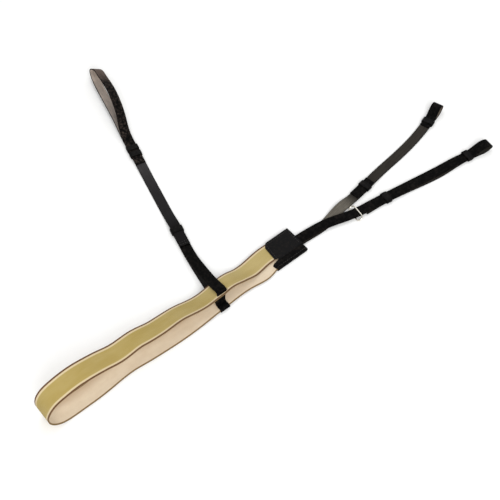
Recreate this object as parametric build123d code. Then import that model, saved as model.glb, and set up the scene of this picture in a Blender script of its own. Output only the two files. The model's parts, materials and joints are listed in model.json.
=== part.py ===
from build123d import *
import math
import os

os.makedirs("parts", exist_ok=True)

# A strap harness laid flat: a wide webbing band folded into a long loop, a sewn end tab,
# a two-layer trunk that splits into two fork arms, and a side strap with a hand loop.
# While it is drawn, +X runs along the band from its fold to the fork arms, Y = 0 is the
# near edge of the band's lower layer and Z = 0 is the surface that it lies on. At the end
# every piece is moved so that the origin is under the middle of the whole harness.

# ---------------------------------------------------------------- driving dimensions, mm
BAND_WIDTH = 38.0
WEBBING_THICK = 1.6
LINING_THICK = 0.9
STRAP_WIDTH = 20.0
STRAP_THICK = 2.0
LAYER_GAP = 0.3
WIRE_DIAMETER = 2.6

FOLD_TIP_X = -466.5
FOLD_RADIUS = 33.5
BAND_SHIFT = 16.0
SLIT_X = -104.0
SLIT_SHIFT = 10.2
SLIT_FROM_EDGE = 4.2
SLIT_OPENING = 4.4
TAB_START_X = 8.0
TAB_END_X = 79.0
BAND_END_X = 60.0
TAB_WALL = 1.4
TAB_LOW_ROOF = 4.5
TAB_HIGH_ROOF = 7.3

KEEPER_LENGTH = 12.0
KEEPER_WALL = 1.3
KEEPER_GAP = 0.5
KEEPER_CLEARANCE = 0.3
FLEX_GAP = 3.0

# Heights of the middle of a strap lying first, second and third in a stack.
LAYER_STEP = STRAP_THICK + LAYER_GAP
FIRST_LAYER_Z = KEEPER_WALL + KEEPER_CLEARANCE + STRAP_THICK / 2
SECOND_LAYER_Z = FIRST_LAYER_Z + LAYER_STEP
THIRD_LAYER_Z = SECOND_LAYER_Z + LAYER_STEP

# The side strap's straight line: where its sewn end starts, and its heading from +X.
SIDE_START = Vector(-85.4, 145.0)
SIDE_HEADING = 75.6
SIDE_LOWER_KEEPER_AT = 38.0
SIDE_FLEX_AT = 60.0
SIDE_UPPER_KEEPER_AT = 240.5
SIDE_LOOP_KEEPER_AT = 257.0
HAND_FLEX_AT = 270.0
HAND_TIP_AT = 478.0
HAND_LOOP_HEIGHT = 27.0
HAND_LOOP_ROLL = 26.0

# The fork: the trunk's flex line, the two arms' flex lines, and the lower arm's line.
TRUNK_FLEX_X = 84.0
LOWER_FLEX_X = 186.0
UPPER_FLEX_X = 223.0
LOWER_ARM_START = Vector(204.0, 1.0)
LOWER_ARM_HEADING = -8.1
LOWER_TIP_AT = 313.0
LOWER_INNER_KEEPER_AT = 66.5
LOWER_OUTER_KEEPER_AT = 260.0
UPPER_INNER_KEEPER_X = 259.0
UPPER_OUTER_KEEPER_X = 467.0
UPPER_TIP_X = 512.0

RING_LENGTH = 36.0
RING_WIDTH = 15.0
RING_TILT = 30.0

STITCH_LENGTH = 3.2
STITCH_PITCH = 4.6
STITCH_WIDTH = 0.8
STITCH_HEIGHT = 0.4


# ---------------------------------------------------------------- helpers
def direction(heading):
    """Unit vector in plan at a heading in degrees from +X."""
    return Vector(math.cos(math.radians(heading)), math.sin(math.radians(heading)), 0)


def on_line(start, heading, along, height, across=0.0):
    """Point at a distance along a plan line, with a height and an offset to its left."""
    place = start + direction(heading) * along + direction(heading + 90) * across
    return Vector(place.X, place.Y, height)


def blend_between(value, table):
    """Value read from (key, result) pairs, eased smoothly from one pair to the next."""
    if value <= table[0][0]:
        return table[0][1]
    for (low, first), (high, second) in zip(table, table[1:]):
        if value <= high:
            share = (value - low) / (high - low)
            return first + (second - first) * share * share * (3 - 2 * share)
    return table[-1][1]


def strap_sections(path, side_at, width, low, high, turn=8.0, reach=26.0):
    """Strap cross-sections along a path: closer together where the path bends."""
    sections = []
    last_place = None
    last_course = None
    steps = 600
    for step in range(steps + 1):
        fraction = step / steps
        place = path @ fraction
        course = path % fraction
        if last_place is not None and step < steps:
            bent = course.get_angle(last_course)
            if bent < turn and (place - last_place).length < reach:
                continue
        side = side_at(place)
        side = (side - course * side.dot(course)).normalized()
        plane = Plane(origin=place, x_dir=side, z_dir=course)
        middle = Pos(0, -(low + high) / 2)
        sections.append(plane * middle * Rectangle(width, high - low))
        last_place = place
        last_course = course
    return sections


def ribbon(points, side_at, width=STRAP_WIDTH, low=-STRAP_THICK / 2, high=STRAP_THICK / 2, turn=8.0):
    """Flat strap along a smooth curve through points; low and high are its two faces.

    side_at gives the direction across the strap. Faces lie on the side that
    side x course points to, so a loop walked with its outside there gets outer faces.
    """
    path = Spline(*points)
    sections = strap_sections(path, side_at, width, low, high, turn)
    return loft(sections, ruled=True)


def keeper(start, heading, along, layers):
    """Closed leather band round a stack of straps, standing on the ground plane."""
    inner_width = STRAP_WIDTH + 2 * KEEPER_GAP
    inner_height = layers * LAYER_STEP - LAYER_GAP + 2 * KEEPER_CLEARANCE
    outer_width = inner_width + 2 * KEEPER_WALL
    outer_height = inner_height + 2 * KEEPER_WALL
    outer = Box(KEEPER_LENGTH, outer_width, outer_height)
    outer = fillet(outer.edges().filter_by(Axis.X), 1.6)
    body = outer - Box(KEEPER_LENGTH + 2, inner_width, inner_height)
    place = on_line(start, heading, along, outer_height / 2)
    return Pos(*place) * Rot(0, 0, heading) * body


def stitch_row(start, end, count):
    """Row of thread stitches lying on a surface, from one point to the other."""
    run = end - start
    heading = math.degrees(math.atan2(run.Y, run.X))
    stitch = Box(STITCH_LENGTH, STITCH_WIDTH, STITCH_HEIGHT)
    stitch = fillet(stitch.edges().filter_by(Axis.X).group_by(Axis.Z)[-1], 0.19)
    lift = Vector(0, 0, STITCH_HEIGHT / 2)
    row = []
    for index in range(count):
        place = start + run * (index / (count - 1)) + lift
        row.append(Pos(*place) * Rot(0, 0, heading) * stitch)
    return row


def stitch_count(start, end):
    """How many stitches fit a row at the usual pitch."""
    return max(2, round((end - start).length / STITCH_PITCH) + 1)


# ---------------------------------------------------------------- the wide band
# How far the upper layer leans along the band: where it is positive its near edge is raised.
BAND_LEAN = [(-450, -18), (-425, -21), (-395, -19), (-367, -15), (-320, -9), (-270, -2),
             (-240, 5), (-190, 12), (-150, 14), (-115, 14), (-95, 12), (-55, 12), (-22, 0)]


def band_shift_at(x):
    """How far the upper layer lies over towards the far side at a place along the band."""
    if x <= SLIT_X:
        return SLIT_SHIFT * (x - FOLD_TIP_X) / (SLIT_X - FOLD_TIP_X)
    share = (x - SLIT_X) / (TAB_START_X - SLIT_X)
    return SLIT_SHIFT + (BAND_SHIFT - SLIT_SHIFT) * min(share, 1)


def band_points():
    """Line between webbing and lining, from the tab along the bottom and back on top."""
    middle = BAND_WIDTH / 2
    lower = [(BAND_END_X, 0, 3.4), (42, 0, 3.4), (23, 0, 3.4), (8, 0, 3.4), (-12, -4.8, 3.5),
             (-38, -3.0, 3.9), (-62, -0.8, 4.1), (-95, -1.8, 4.2), (-128, -3.6, 4.2),
             (-172, -5.6, 2.6), (-215, -5.4, 1.8), (-250, -3.6, 1.7), (-272, -2.0, 1.7),
             (-300, 0.6, 1.7), (-330, -0.2, 1.7), (-352, -2.2, 1.7), (-378, -3.8, 1.7),
             (-408, -4.0, 1.7)]
    upper = [(-400, -0.8, 69.3), (-367, -0.4, 62.5), (-345, 0, 55.3), (-323, -1.2, 50.0),
             (-300, -0.7, 47.8), (-280, 0, 46.2), (-260, -1.2, 42.8), (-238, -1.8, 38.6),
             (-212, -1.4, 35.8), (-190, -1.0, 31.8), (-168, -2.0, 25.6), (-150, -2.6, 20.8),
             (-132, -2.2, 18.2), (-112, -0.8, 17.9), (-92, -0.6, 18.8), (-77, -1.6, 18.6),
             (-60, -2.7, 13.6), (-45, -3.0, 9.0), (-32, -3.0, 6.9), (-12, -1.2, 5.8), (5, 0, 5.5),
             (23, 0, 5.5), (42, 0, 5.5), (BAND_END_X, 0, 5.5)]
    points = [Vector(x, middle + wander, z) for x, wander, z in lower]
    centre_x = FOLD_TIP_X + FOLD_RADIUS
    centre_z = WEBBING_THICK + 0.1 + FOLD_RADIUS
    for angle in (0, 30, 60, 90, 120, 150, 180):
        x = centre_x - FOLD_RADIUS * math.sin(math.radians(angle))
        z = centre_z - FOLD_RADIUS * math.cos(math.radians(angle))
        shift = (band_shift_at(x) + 2) * angle / 180 - 3.8
        points.append(Vector(x, middle + shift, z))
    for x, wander, z in upper:
        points.append(Vector(x, middle + wander + band_shift_at(x), z))
    return points


def band_side(place):
    """Direction across the band: flat below, leaning along the upper layer."""
    lean = 0
    if place.Z > 5:
        lean = blend_between(place.X, BAND_LEAN)
    if place.X < -420:
        lean = lean * blend_between(place.Z, [(12, 0), (65, 1)])
    angle = math.radians(lean)
    return Vector(0, -math.cos(angle), math.sin(angle))


def make_band():
    """Outer webbing and inner lining, both with the slit that the side strap goes through."""
    webbing = ribbon(band_points(), band_side, BAND_WIDTH, 0, WEBBING_THICK, turn=7)
    lining = ribbon(band_points(), band_side, BAND_WIDTH - 1.0, -LINING_THICK, 0, turn=7)
    slit_y = SLIT_SHIFT + SLIT_FROM_EDGE + SLIT_OPENING / 2
    slit = Pos(SLIT_X, slit_y, 19) * Box(STRAP_WIDTH + 3.0, SLIT_OPENING, 14)
    return webbing - slit, lining - slit


# ---------------------------------------------------------------- the end tab
def make_tab():
    """Two sewn patches that close over the band's ends: a flat one and a stepped one."""
    near = -0.5
    far = BAND_WIDTH + BAND_SHIFT + 0.2
    foot = TAB_WALL + 0.1
    low_top = TAB_LOW_ROOF + TAB_WALL
    high_top = TAB_HIGH_ROOF + TAB_WALL
    near_face = near - TAB_WALL
    far_face = far + TAB_WALL
    outside = [(near_face, foot), (near_face, low_top - 1), (near_face + 1, low_top), (11.3, low_top),
               (14.8, high_top), (far_face - 1, high_top), (far_face, high_top - 1), (far_face, foot)]
    inside = [(far, foot), (far, TAB_HIGH_ROOF), (15.5, TAB_HIGH_ROOF),
              (12.0, TAB_LOW_ROOF), (near, TAB_LOW_ROOF), (near, foot)]
    profile = make_face(Polyline(*outside, *inside, close=True))
    sheet = extrude(Plane.YZ * profile, TAB_END_X)
    outline = [(9.0, -4), (6.0, 10.5), (23.0, 12.0), (24.0, 14.5),
               (16.5, 17), (20.5, 60), (90, 60), (90, -4)]
    outline_prism = extrude(make_face(Polyline(*outline, close=True)), 12)
    top = sheet & outline_prism
    corner = (Align.MIN, Align.MIN, Align.MIN)
    bottom = Box(TAB_END_X - TAB_START_X, far_face - near_face, TAB_WALL, align=corner)
    return top, Pos(TAB_START_X, near_face, 0) * bottom


def make_tab_stitches():
    """Thread rows on the tab: along its near edge, its far edge and before the trunk."""
    low = TAB_LOW_ROOF + TAB_WALL
    high = TAB_HIGH_ROOF + TAB_WALL
    rows = [
        (Vector(14, 2.6, low), Vector(74.5, 2.6, low)),
        (Vector(26, 50.6, high), Vector(74.5, 50.6, high)),
        (Vector(23.5, 18.8, high), Vector(26, 46.5, high)),
        (Vector(74.5, 18.8, high), Vector(74.5, 46.5, high)),
    ]
    stitches = []
    for start, end in rows:
        stitches += stitch_row(start, end, stitch_count(start, end))
    return stitches


# ---------------------------------------------------------------- the side strap
def side_point(along, height, across=0.0):
    """Point on the side strap's line."""
    return on_line(SIDE_START, SIDE_HEADING, along, height, across)


def side_across(place):
    """Direction across the side strap, to the right of its heading."""
    return direction(SIDE_HEADING - 90)


def make_side_anchor():
    """Strap that loops the band: under it, round its near edge, up through the slit, over."""
    sewn_to = SIDE_LOWER_KEEPER_AT + 9
    lower_leg = [side_point(sewn_to, FIRST_LAYER_Z), side_point(12, FIRST_LAYER_Z),
                 side_point(-10, 2.2), Vector(-98.6, 85, 1.4), Vector(-103.2, 60, 1.3),
                 Vector(-106.6, 40, 1.3), Vector(-110.6, 20, 1.3), Vector(-113, 6, 1.3),
                 Vector(-113.5, -1.9, 1.35)]
    turn = [Vector(-113.5, -4.6, 3.9), Vector(-113.5, -1.9, 6.5)]
    upper_leg = [Vector(-113.4, 5.0, 6.7), Vector(-111.5, 12.5, 8.4), Vector(-106.5, 16.2, 14.2),
                 Vector(-104, 16.6, 20.8), Vector(-103.5, 19.9, 24.6), Vector(-103, 28, 23.2),
                 Vector(-102.6, 38, 21.0), Vector(-102, 48, 18.9), Vector(-101, 58, 16.8),
                 Vector(-97.5, 84, 11.6),
                 side_point(-28, 7.6), side_point(-12, 5.4), side_point(-2, SECOND_LAYER_Z),
                 side_point(8, SECOND_LAYER_Z), side_point(20, SECOND_LAYER_Z),
                 side_point(34, SECOND_LAYER_Z), side_point(sewn_to, SECOND_LAYER_Z)]

    def across(place):
        heading = blend_between(place.Y, [(10, 90), (60, 81), (140, SIDE_HEADING)])
        return direction(heading - 90)

    return ribbon(lower_leg + turn + upper_leg, across, turn=10)


def make_side_straps():
    """The side strap's sewn end on the root, its free run, and the hand loop's tail."""
    end_points = [side_point(0, THIRD_LAYER_Z), side_point(16, THIRD_LAYER_Z),
                  side_point(34, THIRD_LAYER_Z), side_point(51, THIRD_LAYER_Z),
                  side_point(SIDE_FLEX_AT - FLEX_GAP, 6.0)]
    sewn_end = ribbon(end_points, side_across)
    run = [side_point(SIDE_FLEX_AT + FLEX_GAP, 4.6), side_point(85, 1.7), side_point(120, 1.3),
           side_point(180, 1.4), side_point(205, FIRST_LAYER_Z), side_point(240, FIRST_LAYER_Z),
           side_point(HAND_FLEX_AT - FLEX_GAP, FIRST_LAYER_Z)]
    free_run = ribbon(run, side_across)
    tail_points = [side_point(214, SECOND_LAYER_Z), side_point(HAND_FLEX_AT - FLEX_GAP, SECOND_LAYER_Z)]
    tail = ribbon(tail_points, side_across)
    return sewn_end, free_run, tail


def hand_roll_at(along):
    """How far the hand loop has rolled over towards its right, in degrees."""
    return blend_between(along, [(HAND_FLEX_AT + 5, 0), (340, HAND_LOOP_ROLL)])


def hand_point(along, opening):
    """Point on the hand loop: opening is its height above the lower layer, before rolling."""
    roll = math.radians(hand_roll_at(along))
    edge_lift = (STRAP_WIDTH / 2) * math.sin(roll)
    resting = blend_between(along, [(HAND_FLEX_AT + 10, FIRST_LAYER_Z), (330, 1.4)])
    height = resting + edge_lift + opening * math.cos(roll)
    return side_point(along, height, -opening * math.sin(roll))


def hand_across(place):
    """Direction across the hand loop's strap, tipping down to the right as it rolls."""
    along = (place - SIDE_START).dot(direction(SIDE_HEADING))
    roll = math.radians(hand_roll_at(along))
    return direction(SIDE_HEADING - 90) * math.cos(roll) - Vector(0, 0, math.sin(roll))


def make_hand_loop():
    """One strap out along the table, round a small fold and back over the top."""
    height = HAND_LOOP_HEIGHT
    start = HAND_FLEX_AT + FLEX_GAP
    profile = [(start, 0), (300, 0), (345, 0), (400, 0), (445, 0.5), (466, 3.5), (HAND_TIP_AT, 10),
               (471, 17.5), (448, 0.86 * height), (410, height), (370, 0.93 * height),
               (330, 0.6 * height), (298, 6.5), (start, LAYER_STEP)]
    points = [hand_point(along, opening) for along, opening in profile]
    return ribbon(points, hand_across, turn=9)


def make_side_stitches():
    """Thread across the sewn end of the side strap, beside its lower keeper."""
    top = THIRD_LAYER_Z + STRAP_THICK / 2
    stitches = []
    for along in (3.5, 8.5):
        start = side_point(along, top, -6.9)
        end = side_point(along, top, 6.9)
        stitches += stitch_row(start, end, stitch_count(start, end))
    return stitches


def make_hand_stitches():
    """Thread across the hand loop's tail."""
    top = SECOND_LAYER_Z + STRAP_THICK / 2
    start = side_point(219, top, -6.9)
    end = side_point(219, top, 6.9)
    return stitch_row(start, end, stitch_count(start, end))


# ---------------------------------------------------------------- the trunk and the fork
def fork_across(place):
    """Direction across a trunk strap, square to its course in plan."""
    heading = blend_between(place.X, [(80, -3), (150, -15), (190, -14), (210, LOWER_ARM_HEADING)])
    return direction(heading - 90)


def far_across(place):
    """Direction across the far strap: it rolls as it leaves the trunk."""
    heading = blend_between(place.X, [(80, -3), (125, 0), (165, 9), (250, 10), (350, 7),
                                      (430, 12), (UPPER_TIP_X, 18)])
    roll = math.radians(blend_between(place.X, [(145, 0), (180, 16), (190, 16), (216, 0)]))
    return direction(heading - 90) * math.cos(roll) - Vector(0, 0, math.sin(roll))


def make_trunk():
    """The sewn-in strap ends in the tab and the two trunk straps up to the arms' flex lines."""
    inside = BAND_END_X + 2
    near_strap = [Vector(TRUNK_FLEX_X + FLEX_GAP, 24, SECOND_LAYER_Z),
                  Vector(112, 22.3, SECOND_LAYER_Z), Vector(140, 18.5, SECOND_LAYER_Z),
                  Vector(165, 11.8, SECOND_LAYER_Z), Vector(LOWER_FLEX_X - FLEX_GAP, 6.2, SECOND_LAYER_Z)]
    upper = ribbon(near_strap, fork_across)
    far_strap = [Vector(TRUNK_FLEX_X + FLEX_GAP, 22, FIRST_LAYER_Z), Vector(112, 20.4, 1.8),
                 Vector(138, 20.2, 1.4), Vector(162, 24, 2.6), Vector(184, 28, 4.4),
                 Vector(202, 30.2, 3.6), Vector(UPPER_FLEX_X - FLEX_GAP, 31.6, FIRST_LAYER_Z)]
    lower = ribbon(far_strap, far_across)
    ends = []
    for side, height in ((24.3, SECOND_LAYER_Z), (22.3, FIRST_LAYER_Z)):
        span = [Vector(inside, side + 0.8, height), Vector(TRUNK_FLEX_X - FLEX_GAP, side, height)]
        ends.append(ribbon(span, fork_across))
    return ends, upper, lower


def lower_point(along, height, across=0.0):
    """Point on the lower arm's line."""
    return on_line(LOWER_ARM_START, LOWER_ARM_HEADING, along, height, across)


def make_lower_arm():
    """Near arm: the top strap runs out, folds down at the tip and comes back underneath."""
    shift = -3.0
    tip = LOWER_TIP_AT
    points = [Vector(LOWER_FLEX_X + FLEX_GAP, 4.6, SECOND_LAYER_Z), lower_point(0, SECOND_LAYER_Z),
              lower_point(30, SECOND_LAYER_Z), lower_point(90, SECOND_LAYER_Z), lower_point(150, 3.8),
              lower_point(200, 3.8), lower_point(235, SECOND_LAYER_Z), lower_point(268, SECOND_LAYER_Z),
              lower_point(288, 11.0, 0.5), lower_point(303, 13.4, 0), lower_point(tip, 8.2, -0.5),
              lower_point(305, 2.6, -1.0), lower_point(286, 1.9, -1.2),
              lower_point(268, FIRST_LAYER_Z, -0.3), lower_point(235, FIRST_LAYER_Z, -0.3),
              lower_point(200, 1.3, shift), lower_point(150, 1.3, shift),
              lower_point(90, FIRST_LAYER_Z, -0.3), lower_point(50, FIRST_LAYER_Z, -0.3),
              lower_point(28, FIRST_LAYER_Z, -1.5), lower_point(14, FIRST_LAYER_Z, -2.5)]

    def across(place):
        heading = blend_between(place.X, [(186, -13), (204, LOWER_ARM_HEADING)])
        return direction(heading - 90)

    return ribbon(points, across, turn=9)


def upper_plan(x):
    """Middle line of the upper arm in plan."""
    table = [(219, 31.4), (262, 37.8), (307, 45.5), (350, 50.7),
             (400, 58.2), (437, 66.0), (467, 74.3), (512, 88.6)]
    for (low, first), (high, second) in zip(table, table[1:]):
        if x <= high:
            return first + (second - first) * (x - low) / (high - low)
    return table[-1][1]


def upper_point(x, height, across=0.0):
    """Point on the upper arm at a place along X."""
    return Vector(x, upper_plan(x) + across, height)


def make_upper_arm():
    """Far arm: the lower strap runs out, folds up at the tip and comes back on top."""
    start = UPPER_FLEX_X + FLEX_GAP
    points = [upper_point(start, FIRST_LAYER_Z), upper_point(262, FIRST_LAYER_Z),
              upper_point(285, FIRST_LAYER_Z), upper_point(307, 1.5), upper_point(350, 1.3),
              upper_point(400, 1.3), upper_point(430, 1.6), upper_point(450, FIRST_LAYER_Z),
              upper_point(475, FIRST_LAYER_Z), upper_point(490, 1.8, -0.4), upper_point(503, 2.6),
              upper_point(UPPER_TIP_X, 9.0, 0.6), upper_point(504, 16.5, 1.0),
              upper_point(494, 14.5, 1.0), upper_point(484, 7.4, 0.6), upper_point(475, SECOND_LAYER_Z),
              upper_point(464, SECOND_LAYER_Z), upper_point(452, SECOND_LAYER_Z)]
    strap = ribbon(points, far_across, turn=9)
    tail = ribbon([upper_point(start, SECOND_LAYER_Z), upper_point(255, SECOND_LAYER_Z),
                   upper_point(275, SECOND_LAYER_Z)], far_across)
    return strap, tail


def make_ring():
    """Oblong wire ring woven on the near strap: one bar under it, the other over it."""
    radius = WIRE_DIAMETER / 2
    half_width = RING_WIDTH / 2 - radius
    half_length = RING_LENGTH / 2 - radius
    straight = half_length - half_width
    left = Line((-half_width, -straight), (-half_width, straight))
    far_end = CenterArc((0, straight), half_width, 0, 180)
    right = Line((half_width, straight), (half_width, -straight))
    near_end = CenterArc((0, -straight), half_width, 180, 180)
    path = Wire([left, far_end, right, near_end])
    section = Plane(origin=(half_width, 0, 0), z_dir=(0, 1, 0)) * Circle(radius)
    ring = sweep(section, path=path, is_frenet=True)
    rise = half_width * math.sin(math.radians(RING_TILT))
    place = on_line(LOWER_ARM_START, LOWER_ARM_HEADING, -3.5, radius + rise + 0.05)
    return Pos(*place) * Rot(0, 0, LOWER_ARM_HEADING) * Rot(0, -RING_TILT, 0) * ring


def upper_heading_at(x):
    """Heading of the upper arm at a place along X."""
    return math.degrees(math.atan2(upper_plan(x + 4) - upper_plan(x - 4), 8))


# ---------------------------------------------------------------- build and write the nodes
def build_nodes():
    """Every node by name, still in the drawing frame."""
    nodes = {}
    nodes["band_webbing"], nodes["band_lining"] = make_band()
    nodes["tab_top_patch"], nodes["tab_bottom_patch"] = make_tab()
    nodes["tab_stitches"] = make_tab_stitches()
    nodes["side_anchor_strap"] = make_side_anchor()
    nodes["side_strap_end"], nodes["side_strap"], nodes["hand_loop_tail"] = make_side_straps()
    nodes["side_end_stitches"] = make_side_stitches()
    nodes["hand_loop_stitches"] = make_hand_stitches()
    nodes["hand_loop"] = make_hand_loop()
    nodes["side_lower_keeper"] = keeper(SIDE_START, SIDE_HEADING, SIDE_LOWER_KEEPER_AT, 3)
    nodes["side_upper_keeper"] = keeper(SIDE_START, SIDE_HEADING, SIDE_UPPER_KEEPER_AT, 2)
    nodes["hand_loop_keeper"] = keeper(SIDE_START, SIDE_HEADING, SIDE_LOOP_KEEPER_AT, 2)
    nodes["trunk_sewn_ends"], nodes["trunk_upper_strap"], nodes["trunk_lower_strap"] = make_trunk()
    nodes["lower_fork_strap"] = make_lower_arm()
    nodes["upper_fork_strap"], nodes["upper_fork_tail"] = make_upper_arm()
    for end, along, x in (("inner", LOWER_INNER_KEEPER_AT, UPPER_INNER_KEEPER_X),
                          ("outer", LOWER_OUTER_KEEPER_AT, UPPER_OUTER_KEEPER_X)):
        on_lower_arm = keeper(LOWER_ARM_START, LOWER_ARM_HEADING, along, 2)
        on_upper_arm = keeper(upper_point(x, 0), upper_heading_at(x), 0, 2)
        nodes[f"lower_fork_{end}_keeper"] = on_lower_arm
        nodes[f"upper_fork_{end}_keeper"] = on_upper_arm
    nodes["fork_ring"] = make_ring()
    return nodes


def as_shape(node):
    """One shape for a node: a solid, or a compound of a group of solids."""
    if isinstance(node, list):
        return Compound(children=node)
    return node


def move_to_origin(nodes):
    """Move every node so that the origin is under the middle of the whole harness."""
    boxes = [node.bounding_box() for node in nodes.values()]
    low_x = min(box.min.X for box in boxes)
    high_x = max(box.max.X for box in boxes)
    low_y = min(box.min.Y for box in boxes)
    high_y = max(box.max.Y for box in boxes)
    shift = Vector(-(low_x + high_x) / 2, -(low_y + high_y) / 2, 0)
    return shift, {name: Pos(*shift) * node for name, node in nodes.items()}


drawn = {name: as_shape(node) for name, node in build_nodes().items()}
ORIGIN_SHIFT, placed = move_to_origin(drawn)
for name, node in placed.items():
    export_step(node, f"parts/{name}.step")
print("origin shift", ORIGIN_SHIFT)
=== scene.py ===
"""Looks of a strap harness laid flat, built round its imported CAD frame.

The harness is a wide olive webbing band folded into a long loop, a sewn leather tab over the
band's ends, a two-layer trunk that splits into two fork arms, and a side strap that ends in a
hand loop. Every piece is drawn in millimetres in the drawing's own frame, where X runs from the
band's fold to the fork arms, Y = 0 is the near edge of the band's lower layer and Z = 0 is the
surface that the harness lies on. Its mesh is then moved into the row frame, in metres.
"""

import json
import logging
import math
from dataclasses import dataclass, field
from enum import Enum
from typing import Callable, Iterable, Sequence

import bmesh
import bpy
from mathutils import Matrix, Vector
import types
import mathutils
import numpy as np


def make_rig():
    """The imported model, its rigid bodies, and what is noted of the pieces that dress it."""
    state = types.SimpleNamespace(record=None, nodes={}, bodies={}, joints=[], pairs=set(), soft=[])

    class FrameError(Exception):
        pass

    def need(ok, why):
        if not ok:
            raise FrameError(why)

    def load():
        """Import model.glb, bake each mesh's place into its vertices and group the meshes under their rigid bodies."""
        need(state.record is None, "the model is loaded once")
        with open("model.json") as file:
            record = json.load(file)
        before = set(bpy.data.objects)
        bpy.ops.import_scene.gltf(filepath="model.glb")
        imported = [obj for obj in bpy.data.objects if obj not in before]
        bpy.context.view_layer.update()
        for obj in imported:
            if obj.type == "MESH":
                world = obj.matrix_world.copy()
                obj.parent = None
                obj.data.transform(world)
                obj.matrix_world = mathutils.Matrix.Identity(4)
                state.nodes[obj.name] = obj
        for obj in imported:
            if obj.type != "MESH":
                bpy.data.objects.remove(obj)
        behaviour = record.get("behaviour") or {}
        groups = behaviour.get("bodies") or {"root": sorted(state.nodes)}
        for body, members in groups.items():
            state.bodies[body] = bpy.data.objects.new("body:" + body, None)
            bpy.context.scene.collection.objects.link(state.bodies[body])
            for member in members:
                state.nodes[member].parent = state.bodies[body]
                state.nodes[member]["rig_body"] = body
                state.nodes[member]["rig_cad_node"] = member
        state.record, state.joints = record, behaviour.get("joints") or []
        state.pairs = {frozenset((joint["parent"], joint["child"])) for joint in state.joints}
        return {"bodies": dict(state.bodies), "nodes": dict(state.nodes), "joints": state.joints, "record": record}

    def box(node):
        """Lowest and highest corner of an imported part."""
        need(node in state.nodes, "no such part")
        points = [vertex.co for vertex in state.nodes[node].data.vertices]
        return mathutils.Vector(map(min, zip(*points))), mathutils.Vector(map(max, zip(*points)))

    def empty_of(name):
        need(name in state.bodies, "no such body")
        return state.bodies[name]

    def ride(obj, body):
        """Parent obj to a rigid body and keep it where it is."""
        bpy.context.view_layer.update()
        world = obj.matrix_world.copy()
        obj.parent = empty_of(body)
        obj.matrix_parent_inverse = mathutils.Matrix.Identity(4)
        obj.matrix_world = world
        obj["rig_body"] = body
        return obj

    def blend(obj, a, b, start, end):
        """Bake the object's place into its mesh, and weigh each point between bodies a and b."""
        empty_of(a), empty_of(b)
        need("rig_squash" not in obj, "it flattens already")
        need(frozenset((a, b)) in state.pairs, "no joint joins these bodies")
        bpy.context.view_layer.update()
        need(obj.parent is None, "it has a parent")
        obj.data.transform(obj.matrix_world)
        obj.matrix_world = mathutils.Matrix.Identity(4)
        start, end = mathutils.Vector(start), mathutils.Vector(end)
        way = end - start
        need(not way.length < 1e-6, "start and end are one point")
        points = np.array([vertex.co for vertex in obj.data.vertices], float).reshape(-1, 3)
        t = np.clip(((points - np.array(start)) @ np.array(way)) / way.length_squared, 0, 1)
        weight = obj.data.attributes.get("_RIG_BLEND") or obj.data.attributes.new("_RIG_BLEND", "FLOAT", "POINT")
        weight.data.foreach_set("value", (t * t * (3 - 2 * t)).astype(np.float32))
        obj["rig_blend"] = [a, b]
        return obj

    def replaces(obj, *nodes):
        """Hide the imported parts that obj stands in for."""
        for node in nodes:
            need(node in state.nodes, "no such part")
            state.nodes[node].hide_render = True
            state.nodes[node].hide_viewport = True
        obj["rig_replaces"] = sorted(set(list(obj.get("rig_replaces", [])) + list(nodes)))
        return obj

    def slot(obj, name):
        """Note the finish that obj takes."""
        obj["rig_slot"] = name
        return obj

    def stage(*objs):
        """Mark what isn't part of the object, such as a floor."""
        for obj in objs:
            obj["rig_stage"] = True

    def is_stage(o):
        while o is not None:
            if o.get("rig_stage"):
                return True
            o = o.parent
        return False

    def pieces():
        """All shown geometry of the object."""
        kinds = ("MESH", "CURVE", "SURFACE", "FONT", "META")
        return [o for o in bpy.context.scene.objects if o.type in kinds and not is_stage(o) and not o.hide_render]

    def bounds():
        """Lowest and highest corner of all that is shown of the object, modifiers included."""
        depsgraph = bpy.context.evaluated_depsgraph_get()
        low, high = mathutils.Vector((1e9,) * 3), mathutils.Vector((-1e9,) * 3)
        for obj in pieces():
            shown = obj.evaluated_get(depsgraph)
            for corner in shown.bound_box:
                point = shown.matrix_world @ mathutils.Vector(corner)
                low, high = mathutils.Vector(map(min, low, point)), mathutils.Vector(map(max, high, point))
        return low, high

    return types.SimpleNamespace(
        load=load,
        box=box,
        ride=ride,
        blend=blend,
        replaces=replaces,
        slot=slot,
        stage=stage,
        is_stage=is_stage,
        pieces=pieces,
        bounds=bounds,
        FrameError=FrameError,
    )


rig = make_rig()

LOG = logging.getLogger("harness")
MM = 0.001
Colour = tuple[float, float, float, float]
AcrossRule = Callable[[Vector], Vector]


# ---------------------------------------------------------------- plane geometry
def heading(degrees: float) -> Vector:
    """Unit vector in plan at a heading in degrees from +X."""
    return Vector((math.cos(math.radians(degrees)), math.sin(math.radians(degrees)), 0.0))


def eased(value: float, table: Sequence[tuple[float, float]]) -> float:
    """Read a value from a table, eased smoothly from one entry to the next.

    Args:
        value: The key to look up.
        table: Pairs of key and result, with the keys rising.

    Returns:
        The result at that key, held constant beyond both ends of the table.
    """
    if value <= table[0][0]:
        return table[0][1]
    for (low, first), (high, second) in zip(table, table[1:]):
        if value <= high:
            share = (value - low) / (high - low)
            return first + (second - first) * share * share * (3 - 2 * share)
    return table[-1][1]


@dataclass(frozen=True)
class Line:
    """A straight line in plan that a strap follows.

    Args:
        x: Where the line starts along X, in millimetres.
        y: Where it starts along Y.
        course: Its heading in degrees from +X.
    """

    x: float
    y: float
    course: float

    def at(self, along: float, height: float, across: float = 0.0) -> Vector:
        """Place at a distance along the line, at a height, shifted to the line's left."""
        place = Vector((self.x, self.y, height))
        return place + heading(self.course) * along + heading(self.course + 90) * across

    def along(self, place: Vector) -> float:
        """Distance along the line of the nearest point to a place."""
        return (place - Vector((self.x, self.y, 0.0))).dot(heading(self.course))


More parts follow.
